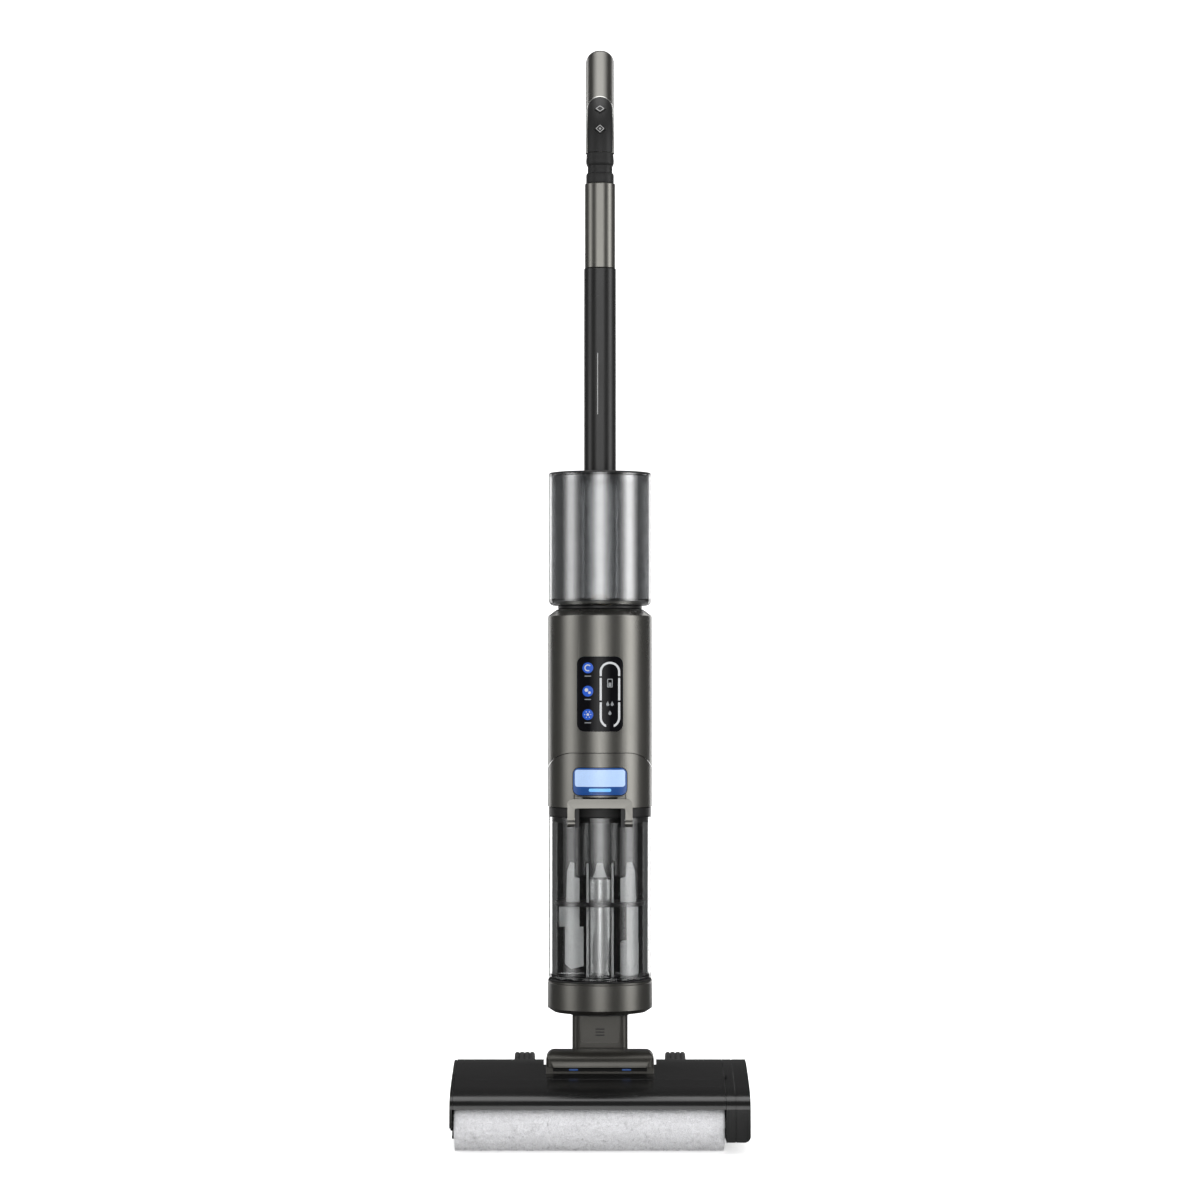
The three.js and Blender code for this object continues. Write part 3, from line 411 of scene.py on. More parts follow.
def studio():
    faded("softbox_front", 0, 2.4, 1.7, 3.4)
    faded("softbox_right", 70, 2.2, 1.7, 4.4)
    faded("softbox_left", -69, 2.2, 1.6, 2.8)
    around("softbox_back_left", -150, 2.4, 0.8, 1.6)
    around("softbox_back_right", 155, 2.4, 0.8, 1.8)
    for k, (part, share) in enumerate(((1.0, 0.3), (0.7, 0.35), (0.4, 0.35))):
        area(f"top_{k + 1}", (0, 0.35, 2.9 + 0.01 * k), (0, 0.35, 0), 2.2 * part, 1.5, 3.1 * share)
    area("low_front", (0, -2.2, 0.30), (0, -0.1, 0.0), 1.6, 0.3, 0.7)
    world = bpy.data.worlds.new("studio")
    world.use_nodes = True
    nodes, links = world.node_tree.nodes, world.node_tree.links
    background = nodes["Background"]
    background.inputs["Color"].default_value = (1, 1, 1, 1)
    path = nodes.new("ShaderNodeLightPath")
    level = None
    for ray, gain, base in (("Is Diffuse Ray", 0.42, 0.10), ("Is Camera Ray", 0.90, 0.0)):
        step = nodes.new("ShaderNodeMath")
        step.operation = "MULTIPLY_ADD"
        step.inputs[1].default_value = gain
        step.inputs[2].default_value = base
        links.new(path.outputs[ray], step.inputs[0])
        if level:
            links.new(level, step.inputs[2])
        level = step.outputs["Value"]
    links.new(level, background.inputs["Strength"])
    bpy.context.scene.world = world
    bpy.context.scene.view_settings.view_transform = "Standard"


def floor():
    """A pale round floor that curves up into a wall all round, and shines white away from the object."""
    edge, bend, top, sides = 4600, 1800, 7000, 96
    profile = [(0, 0), (edge, 0)]
    curve = [math.pi / 48 * k for k in range(1, 25)]
    profile += [(edge + bend * math.sin(t), bend - bend * math.cos(t)) for t in curve]
    profile.append((edge + bend, top))
    bm = bmesh.new()
    rows = []
    angles = [2 * math.pi * k / sides for k in range(sides)]
    for r, z in profile:
        rows.append([bm.verts.new((r * math.cos(t), r * math.sin(t), z - 0.3)) for t in angles])
    for low, high in zip(rows, rows[1:]):
        for k in range(sides):
            n = (k + 1) % sides
            bm.faces.new((low[k], low[n], high[n], high[k]))
    obj = new_object(bm, "floor")
    pale = material("pale_floor", (0.93, 0.93, 0.93), 0.7, grain=30, vary=0.005, bump=0)
    nodes, links = pale.node_tree.nodes, pale.node_tree.links
    shader = nodes["Principled BSDF"]
    away = nodes.new("ShaderNodeVectorMath")
    away.operation = "LENGTH"
    links.new(nodes.new("ShaderNodeTexCoord").outputs["Object"], away.inputs[0])
    glow = shader_node(pale.node_tree, "MapRange", From_Min=0.6, From_Max=2.8, To_Min=0.5, To_Max=1.0,
                       Value=away.outputs["Value"])
    links.new(glow.outputs["Result"], shader.inputs["Emission Color"])
    shader.inputs["Emission Strength"].default_value = 1.0
    obj.data.materials.append(pale)
    smooth(obj)
    obj.visible_diffuse = False
    obj.visible_glossy = False
    obj.visible_transmission = False


camera()
studio()
floor()

# ---------- Floor head ----------

COVER_LOW, COVER_HIGH = node_box("head_cover")
LIP = COVER_LOW.z
REAR = COVER_HIGH.y
PILE_LOW, PILE_HIGH = node_box("brush_pile")
BRUSH_Y, BRUSH_Z = (PILE_LOW.y + PILE_HIGH.y) / 2, (PILE_LOW.z + PILE_HIGH.z) / 2
BRUSH_R = (PILE_HIGH.z - PILE_LOW.z) / 2


def head_outline(inset, bottom):
    """Side outline (y, z) of the head, drawn this far inside its skin."""
    front, shoulder = COVER_LOW.y + inset, 64 - inset
    points = [(front, bottom), (REAR, bottom), (REAR, COVER_HIGH.z - inset), (-20, 77 - inset),
              (-60, 70.3 - inset), (-88, shoulder)]
    points += bezier((-88, shoulder), (-107, shoulder - 3.7), (front + 2, shoulder - 8), (front, LIP))
    return points


def head_cover():
    low, high = COVER_LOW, COVER_HIGH
    skin = prism(head_outline(0, LIP), low.x, high.x, "X")
    inside = prism([(y, z) for y, z in head_outline(3, 0)], low.x - 1, high.x + 1, "X")
    rear_gap = box((low.x - 1, REAR - 3.2, 0), (high.x + 1, REAR + 1, 75))
    slot = box((-56, -24, 0), (56, 40, 100))
    groove = prism([(-74.3, 60), (-73.3, 60), (-73.3, 80), (-74.3, 80)], low.x - 1, high.x + 1, "X")
    shallow = cut(groove, prism(head_outline(0.6, 20), low.x - 2, high.x + 2, "X"))
    made = cut(skin, inside, rear_gap, slot, shallow)
    piece(made, "head_cover_shell", "head", "gloss_black", GLOSS, ["head_cover"], edge=0.9)


def drive_housing():
    low, high = node_box("drive_housing")
    side = prism(head_outline(0, low.z), low.x, high.x, "X")
    corner = [(low.x, low.z)] + arc((high.x - 6, low.z + 6), 6, -90, 0) + [(high.x, 100), (low.x, 100)]
    shell = common(side, prism(corner, COVER_LOW.y - 1, REAR + 1, "Y"))
    seam = cut(box((low.x + 9, -140, 0), (low.x + 9.7, 20, 100)),
               prism(head_outline(0.6, low.z + 0.6), 0, 200, "X"))
    hollow = disc(12, low.x - 1, low.x + 6, "X", (0, BRUSH_Y, BRUSH_Z))
    slot = box((low.x - 1, -73, 58), (low.x + 2.4, -58, 90))
    made = cut(shell, seam, hollow, slot)
    piece(made, "drive_housing_shell", "head", "gloss_black", GLOSS, ["drive_housing"], edge=1.1)


def end_cap():
    low, high = node_box("brush_end_cap")
    x0, x1 = low.x, low.x + 2.6
    plate = common(prism(head_outline(0, 26), x0, x1, "X"), box((x0 - 1, -140, 0), (x1 + 1, high.y, 100)))
    boss = disc(7.4, x0, x1, "X", (0, BRUSH_Y, BRUSH_Z))
    recess = common(prism(head_outline(7, 33), x0 - 1, x0 + 0.7, "X"),
                    box((x0 - 2, -140, 0), (x1, high.y - 8, 100)))
    spigot = disc(6, x0 + 1, high.x, "X", (0, BRUSH_Y, BRUSH_Z), 32)
    made = join(cut(join(plate, boss), recess), spigot)
    piece(made, "end_cap_plate", "brush_carrier", "gloss_black", GLOSS, ["brush_end_cap"], edge=0.6)


def roller():
    """The pile: a lumpy sleeve, and thousands of short leaning tufts on it."""
    x0, x1 = PILE_LOW.x, PILE_HIGH.x
    rows, sides = 240, 120
    bm = bmesh.new()
    grid = []
    for i in range(rows + 1):
        x = x0 + 0.6 + (x1 - x0 - 1.2) * i / rows
        shrink = 1.4 * (1 - min(1, min(i, rows - i) / 3)) ** 2
        row = []
        for j in range(sides):
            a = 2 * math.pi * j / sides
            direction = Vector((0, math.cos(a), math.sin(a)))
            lump = noise.noise(Vector((x, 30 * direction.y, 30 * direction.z)) * 0.35)
            radius = BRUSH_R - 1.9 - shrink + 0.5 * lump
            row.append(bm.verts.new(Vector((x, BRUSH_Y, BRUSH_Z)) + direction * radius))
        grid.append(row)
    for low, high in zip(grid, grid[1:]):
        for j in range(sides):
            bm.faces.new((low[j], low[(j + 1) % sides], high[(j + 1) % sides], high[j]))
    inner = [[bm.verts.new((x, BRUSH_Y + 19.4 * math.cos(a), BRUSH_Z + 19.4 * math.sin(a)))
              for a in [2 * math.pi * j / sides for j in range(sides)]] for x in (x0 + 0.6, x1 - 0.6)]
    for j in range(sides):
        k = (j + 1) % sides
        bm.faces.new((inner[0][j], inner[0][k], grid[0][k], grid[0][j]))
        bm.faces.new((inner[1][j], inner[1][k], grid[-1][k], grid[-1][j]))
        bm.faces.new((inner[0][j], inner[0][k], inner[1][k], inner[1][j]))
    # The sleeve takes the darker pile colour: painted shade between the tufts.
    piece(new_object(bm), "roller_sleeve", "brush", "microfibre", PILE, ["brush_pile"], edge=0, degrees=180)

    bm = bmesh.new()
    for _ in range(TUFTS):
        a = random.uniform(0, 2 * math.pi)
        x = random.uniform(x0 + 0.9, x1 - 0.9)
        out = Vector((0, math.cos(a), math.sin(a)))
        around_axis = Vector((0, -math.sin(a), math.cos(a)))
        lean = Vector((random.uniform(-1, 1), 0, 0)) + around_axis * random.uniform(-1, 1)
        middle = Vector((x, BRUSH_Y, BRUSH_Z))
        root = middle + out * (BRUSH_R - 2.4)
        clump = 0.5 + 0.5 * noise.noise(root * 0.42)
        reach = BRUSH_R - 0.15 - 1.5 * clump * random.random()
        tip = middle + out * reach + lean * 0.55
        tip.x = min(max(tip.x, x0), x1)
        width = random.uniform(0.28, 0.5)
        half = Vector((0.5, 0, 0))
        corners = [Vector((1, 0, 0)), around_axis * 0.9 - half, -around_axis * 0.9 - half]
        base = [bm.verts.new(root + corner * width) for corner in corners]
        top = bm.verts.new(tip)
        bm.faces.new(base)
        for k in range(3):
            bm.faces.new((base[k], base[(k + 1) % 3], top))
    bm.transform(Matrix.Scale(MM, 4))
    mesh = bpy.data.meshes.new("roller_tufts")
    bmesh.ops.recalc_face_normals(bm, faces=bm.faces)
    bm.to_mesh(mesh)
    bm.free()
    piece(linked("roller_tufts", mesh), "roller_tufts", "brush", "microfibre", PILE_TIP, edge=0, degrees=180)


def cowl():
    low, high = node_box("pivot_cowl")
    half, front, top, rear = high.x, low.y, high.z, high.y
    foot = front + 7

    def underside(y):
        return 77.45 + 13 / 68 * (y + 20)

    side = [(front, 77.3), (foot, 77.3), (foot, underside(foot)), (rear, underside(rear)), (rear, top),
            (-40, top)]
    side += bezier((-40, top), (-52, top), (front, 88), (front, 77.3))[:-1]
    hood = prism(side, -half, half, "X")
    face = prism(rounded(2 * half, 60, 8, (0, top - 30)), -90, 0, "Y")
    plan = prism(rounded(2 * half, 78, 9, (0, front + 39)), 0, 130, "Z")
    made = common(hood, face, plan)
    made = cut(made, box((-half + 3, foot + 3, 60), (half - 3, rear - 3, 81)))
    piece(made, "pivot_cowl_shell", "head", "grey_paint", DARK_PAINT, ["pivot_cowl"], edge=1.2)
    # The light bar is near-black matt: painted shade for the shadow under the cowl's lip.
    strip_low, strip_high = node_box("headlight_strip")
    strip = box(strip_low, strip_high)
    piece(strip, "headlight_bar", "head", "gloss_black", SHADE_BLACK, ["headlight_strip"], edge=0.5)
    for k, x in enumerate((-26, 26)):
        lens = prism(rounded(9, 1.8, 0.85, (x, 75.2)), strip_low.y - 0.25, strip_low.y + 1, "Y")
        piece(lens, f"headlight_led_{k + 1}", "head", "blue_light", LED, edge=0.15)


def wheel(side):
    low, high = node_box(f"wheel_tyre_{side}")
    sign = 1 if side == "right" else -1
    y, z = (low.y + high.y) / 2, (low.z + high.z) / 2
    radius = (high.z - low.z) / 2
    near, far = (low.x, high.x) if sign > 0 else (high.x, low.x)

    def x(depth):
        return near + sign * depth

    width = abs(far - near)
    profile = [(28.3, x(0.6)), (radius - 3, x(0))]
    profile += [(r, x(depth)) for r, depth in round_foot(radius, 0, 2.4, (15, 45, 75, 90))]
    for k in range(3):
        groove = 5 + k * (width - 10) / 2
        profile += [(radius, x(groove - 0.8)), (radius - 1, x(groove - 0.4)), (radius - 1, x(groove + 0.4)),
                    (radius, x(groove + 0.8))]
    profile += [(radius - 2.4 + 2.4 * math.sin(math.radians(t)),
                 x(width - 2.4 + 2.4 * math.cos(math.radians(t)))) for t in (90, 75, 45, 15)]
    profile += [(radius - 3, x(width)), (28.3, x(width - 0.6))]
    tyre = lathe(profile, "X", (0, y, z))
    piece(tyre, f"tyre_{side}", f"wheel_{side}", "tyre", TYRE, [f"wheel_tyre_{side}"], edge=0)
    hub = lathe([(4.4, x(0.5)), (28, x(0.5)), (28, x(width - 1)), (25.5, x(width - 1)), (24.5, x(width - 5)),
                 (12, x(width - 5)), (11, x(width - 2.4)), (4.4, x(width - 2.4))], "X", (0, y, z), 96)
    holes = []
    for k in range(6):
        a = math.radians(60 * k + 30)
        holes.append(disc(4.2, min(x(8), x(width + 1)), max(x(8), x(width + 1)), "X",
                          (0, y + 18 * math.cos(a), z + 18 * math.sin(a)), 32))
    piece(cut(hub, *holes), f"hub_{side}", f"wheel_{side}", "black_plastic", BLACK, [f"wheel_hub_{side}"],
          edge=0.4)


head_cover()
drive_housing()
end_cap()
roller()
cowl()
wheel("right")
wheel("left")

# ---------- Neck and lower body ----------

CUP_LOW, CUP_HIGH = node_box("base_cup")
R = CUP_HIGH.x
WALL = 3
SEAM_FRONT, SEAM_SIDE, SEAM_HALF = 385, 370, 27


def neck():
    low, high = node_box("yoke")
    half = 27.5
    side = [(-22, high.z), (-22, 94)] + bezier((-22, 94), (-22, 84), (2, 62), (6, 45), 10)
    side += [(34, 45)] + bezier((34, 45), (30, 62), (22, 72), (22, 84), 10) + [(22, high.z)]
    column = common(prism(side, -half, half, "X"), prism(rounded(2 * half, 70, 8, (0, 13)), 0, 200, "Z"))
    barrel = lathe([(0, low.x), (15.5, low.x), (17, low.x + 1.5), (17, high.x - 1.5), (15.5, high.x),
                    (0, high.x)], "X", HINGE, 96)
    channel = prism(rounded(38, 20, 3, (0, 108)), -22.5, -21.2, "Y")
    bore = disc(13.2, 56, high.z + 1)
    pins = [disc(7.3, x0, x1, "X", HINGE, 40) for x0, x1 in ((29, 48), (-48, -29))]
    made = cut(join(column, barrel), channel, bore, *pins)
    piece(made, "yoke_casting", "neck", "neck_paint", DARK_PAINT, ["yoke"], edge=0.9)
    emblem = [prism(rounded(9, 1.1, 0.5, (0, z)), -21.5, -20.6, "Y") for z in (105, 108, 111)]
    piece(join(*emblem), "yoke_ribs", "neck", "black_plastic", BLACK, edge=0.15)
    rib_rows = []
    for k in range(12):
        z = 60.5 + k * 4.6
        rib_rows += [(11.2, z), (12.7, z + 1.2), (12.7, z + 3.4), (11.2, z + 4.6)]
    hose = lathe([(10, 60.5)] + rib_rows + [(10, 115.7)], sides=64)
    piece(hose, "neck_hose_ribbed", "neck", "rubber", RUBBER, ["neck_hose"], edge=0)


def tube_hole(radius=3.6):
    return disc(radius, 140, 520, centre=(24, 36, 0), sides=24)


def base_cup():
    low, high = CUP_LOW, CUP_HIGH
    shell = lathe([(31.5, low.z), (46, low.z), (R, low.z + 4), (R, high.z - 2.2), (R - 0.7, high.z - 1.6),
                   (R - 0.7, high.z - 1.0), (R, high.z - 0.6), (R, high.z), (0, high.z), (0, high.z - WALL),
                   (R - WALL, high.z - WALL), (R - WALL, low.z + 5.6), (44.8, low.z + WALL),
                   (31.5, low.z + WALL)])
    made = cut(shell, disc(14, 150, 160, centre=(0, -4, 0)), tube_hole())
    piece(made, "base_cup_shell", "body", "grey_paint", PAINT, ["base_cup"], edge=0.5)
    low, high = node_box("base_seal")
    seal = common(lathe([(44, low.z), (51.2, low.z), (51.5, low.z + 0.5), (51.5, high.z - 0.4),
                         (51.2, high.z), (44, high.z)]),
                  box((-60, -60, 0), (60, high.y, 400)))
    piece(seal, "base_seal_lip", "body", "rubber", RUBBER, ["base_seal"], edge=0)
    low, high = node_box("charge_contact_block")
    block = prism(rounded(high.x - low.x, high.z - low.z, 3, (0, (low.z + high.z) / 2)), low.y,
                  high.y - 0.5, "Y")
    piece(block, "charge_block_body", "body", "black_plastic", BLACK, ["charge_contact_block"], edge=0.5)
    for k, x in enumerate((-8, 8)):
        pad = lathe([(0, high.y - 0.8), (3, high.y - 0.8), (3, high.y - 0.1), (2.6, high.y), (0, high.y)],
                    sides=40)
        pad.data.transform(Matrix.Rotation(math.radians(-90), 4, "X"))
        pad.data.transform(Matrix.Translation(Vector((x, 0, 144)) * MM))
        piece(pad, f"charge_pad_{k + 1}", "body", "brass", BRASS, edge=0)


def spine():
    low, high = node_box("rear_spine")
    outside = common(disc(R, low.z, high.z, sides=ROUND), box((-60, low.y, 0), (60, 60, 500)))
    inside = common(disc(R - 2.5, low.z - 1, high.z + 1, sides=ROUND),
                    box((-60, low.y + 2.5, 0), (60, 60, 500)))
    # The spine's front wall is a separate near-black plate: painted shade, so the body seen through the clear
    # cup looks dark.
    front = box((-45.1, low.y - 1, low.z - 1), (45.1, low.y + 0.9, high.z + 1))
    shade_plate = common(box((-44.7, low.y, low.z), (44.7, low.y + 0.85, high.z)), disc(R - 0.3, low.z, high.z))
    piece(shade_plate, "rear_spine_shade_plate", "body", "black_plastic", SHADE_BLACK, edge=0.2)
    grooves = [cut(ring(R - 0.5, R + 2, z, z + 0.8), box((-60, -60, 0), (60, low.y + 1, 500)))
               for z in (200, 290)]
    piece(cut(outside, inside, front, *grooves), "rear_spine_shell", "body", "grey_paint", PAINT,
          ["rear_spine"], edge=0.8)


def below_seam(drop):
    side, front = SEAM_SIDE - drop, SEAM_FRONT - drop
    right = [(60, side), (52, side)]
    right += bezier((52, side), (47, front - 4), (36, front), (SEAM_HALF, front), 12)
    return prism([(-60, 300), (60, 300)] + right + [(-x, z) for x, z in reversed(right)], -60, 60, "Y")


def front_plate(outline, inner, outer):
    """An outline (x, z) on the front of the round body."""
    return common(prism(outline, -62, -25, "Y"), ring(inner, outer, 100, 700))


def latch_cover():
    low = node_box("latch_cover")[0]
    shell = lathe([(20, low.z), (R, low.z), (R, SEAM_FRONT), (R - WALL, SEAM_FRONT), (R - WALL, low.z + 3),
                   (20, low.z + 3)])
    button_low, button_high = node_box("release_button")
    z = (button_low.z + button_high.z) / 2
    width, height = button_high.x - button_low.x, button_high.z - button_low.z
    window = prism(rounded(width + 1.2, height + 1.2, 6.6, (0, z)), -60, -30, "Y")
    bail_low, bail_high = node_box("tank_bail")
    room = box((bail_low.x - 2.4, -60, low.z - 1), (bail_high.x + 2.4, -45.8, bail_high.z + 1.4))
    made = cut(common(shell, below_seam(GAP)), window, room, tube_hole())
    piece(made, "latch_cover_shell", "body", "grey_paint", PAINT, ["latch_cover"], edge=0.5)

    outline = rounded(width, height, 6, (0, z), 10)
    bezel = cut(front_plate(outline, 48.4, R - 0.35),
                prism(rounded(width - 3, height - 3, 4.6, (0, z)), -60, -51, "Y"))
    piece(bezel, "release_bezel", "release", "lit_button", BUTTON_BLUE, ["release_button"], edge=0.3)
    split = z - 5.4
    window_low = split + 0.25
    pane = rounded(width - 3.4, z + height / 2 - 1.7 - window_low, 2.6,
                   (0, (z + height / 2 - 1.7 + window_low) / 2))
    piece(front_plate(pane, 50.9, R - 0.2), "release_window", "release", "lit_button", BUTTON_LIT, edge=0.25)
    foot = z - height / 2 + 1.7
    strip = rounded(width - 5.4, split - foot, 2.8, (0, (split + foot) / 2))
    piece(front_plate(strip, 50.9, R - 0.25), "release_strip", "release", "lit_button", BUTTON_BLUE, edge=0.2)
    glow = rounded(width * 0.42, (split - foot) * 0.5, 1.5, (0, (split + foot) / 2))
    piece(front_plate(glow, 51, R - 0.12), "release_glow", "release", "lit_button", BUTTON_CORE, edge=0.1)


neck()
base_cup()
spine()
latch_cover()

# ---------- Upper housing ----------


def upper_housing():
    high = node_box("upper_housing")[1]
    lens_low, lens_high = node_box("display_lens")
    shell = lathe([(R - WALL, 360), (R, 360), (R, 519.6), (R - 0.4, 521), (43.6, high.z - 0.4),
                   (42.6, high.z), (0, high.z), (0, high.z - 3), (41.7, high.z - 3), (R - WALL, 519.7)])
    centre = ((lens_low.x + lens_high.x) / 2, (lens_low.z + lens_high.z) / 2)
    width, height = lens_high.x - lens_low.x, lens_high.z - lens_low.z
    window = prism(rounded(width + 0.5, height + 0.5, 7.25, centre), -60, -30, "Y")
    exhaust = prism(rounded(40, 40, 4, (0, 417)), 30, 60, "Y")
    socket = prism(rounded(33.2, 28.8, 12.4, (0, 28)), 500, 540, "Z")
    above = cut(box((-60, -60, 300), (60, 60, 600)), below_seam(-GAP))
    made = cut(common(shell, above), window, exhaust, socket, disc(8, 500, 540, centre=VALVE))
    piece(made, "upper_housing_shell", "body", "grey_paint", PAINT, ["upper_housing"], edge=0.45)
    lens = front_plate(rounded(width, height, 7, centre, 12), 49.6, R)
    piece(lens, "display_glass_lens", "body", "display_glass", GLASS, ["display_lens"], edge=0.6)


def grille():
    low, high = node_box("exhaust_grille")
    z = (low.z + high.z) / 2
    width, height = high.x - low.x, high.z - low.z
    plate = common(prism(rounded(width, height, 3.6, (0, z)), 30, 60, "Y"), ring(49, R - 0.3, 300, 500))
    slots = [prism(rounded(30, 1.9, 0.9, (0, z + 4.2 * k)), 30, 60, "Y") for k in range(-4, 5)]
    piece(cut(plate, *slots), "exhaust_louvres", "body", "black_plastic", BLACK, ["exhaust_grille"], edge=0.3)
    backing = prism(rounded(39, 39, 3, (0, z)), 41, 41.8, "Y")
    piece(backing, "exhaust_foam", "body", "black_plastic", RUBBER, edge=0)


def display():
    """Generic marks: three round mode lamps, and a ring that shows how dirty the water is."""
    skin = R + 0.04

    def mark(name, outline, slot="display_glass", finish=ICON_DIM, inner=51.9, outer=skin):
        piece(front_plate(outline, inner, outer), name, "body", slot, finish, edge=0)

    for k, z in enumerate((469, 446, 423)):
        mark(f"mode_lamp_{k + 1}", arc((-12, z), 5.3, 0, 351, 40), "blue_light", ICON_BLUE, 51.8)
        if k == 0:
            marks = [arc((-12, z), 3.4, 40, 300, 24) + arc((-12, z), 2.3, 300, 40, 24)]
        elif k == 1:
            marks = [arc((-13.4, z + 1.2), 1.8, 0, 345, 20), arc((-10.4, z - 1.4), 1.3, 0, 340, 20)]
        else:
            marks = [arc((-12, z), 1.3, 0, 340, 20)] + [
                arc((-12 + 3 * math.cos(t), z + 3 * math.sin(t)), 0.5, 0, 330, 10)
                for t in [math.radians(60 * n) for n in range(6)]]
        for n, outline in enumerate(marks):
            mark(f"mode_mark_{k + 1}_{n + 1}", outline, finish=ICON_WHITE, outer=skin + 0.04)
        mark(f"mode_dash_{k + 1}", rounded(6.5, 0.9, 0.4, (-12, z - 8.1)))
    centre, width, height, stroke = (9.8, 442.5), 20.3, 65, 2.1
    outer = front_plate(rounded(width, height, 9.9, centre, 14), 51.8, skin)
    inner = prism(rounded(width - 2 * stroke, height - 2 * stroke, 9.9 - stroke, centre, 14), -62, -25, "Y")
    breaks = [box((-5, -62, z - 0.9), (25, -25, z + 0.9)) for z in (460, 436)]
    breaks.append(box((6, -62, 405), (13.6, -25, 415)))
    piece(cut(outer, inner, *breaks), "dirt_ring", "body", "display_glass", ICON_WHITE, edge=0)
    battery = cut(front_plate(rounded(5.4, 8.5, 0.8, (9.8, 454)), 51.9, skin),
                  prism(rounded(3.8, 6.9, 0.4, (9.8, 454)), -62, -25, "Y"))
    piece(battery, "battery_mark", "body", "display_glass", ICON_DIM, edge=0)
    mark("battery_level", rounded(2.8, 3.6, 0.3, (9.8, 452.6)))
    for n, (x, z) in enumerate(((7.6, 433), (12, 433), (9.8, 424))):
        mark(f"water_mark_{n + 1}", [(x, z + 3)] + arc((x, z), 1.5, 20, -200, 14))


def seat():
    low, high = node_box("tank_seat")
    plate = lathe([(0, low.z), (high.x - 0.6, low.z), (high.x, low.z + 0.6), (high.x, high.z - 0.5),
                   (high.x - 0.5, high.z), (0, high.z)])
    made = cut(plate, box((-17.2, 13, 500), (17.2, 60, 600)), disc(6.5, 500, 600, centre=VALVE))
    piece(made, "tank_seat_plate", "body", "black_plastic", BLACK, ["tank_seat"], edge=0.3)


upper_housing()
grille()
display()
seat()

# ---------- Dirty water tank ----------

DIRTY_LOW, DIRTY_HIGH = node_box("dirty_tank_cup")
TANK_R, BACK = DIRTY_HIGH.x, DIRTY_HIGH.y
INLET = (0, -4, 0)


def in_front(y):
    return box((-60, -60, 0), (60, y, 800))


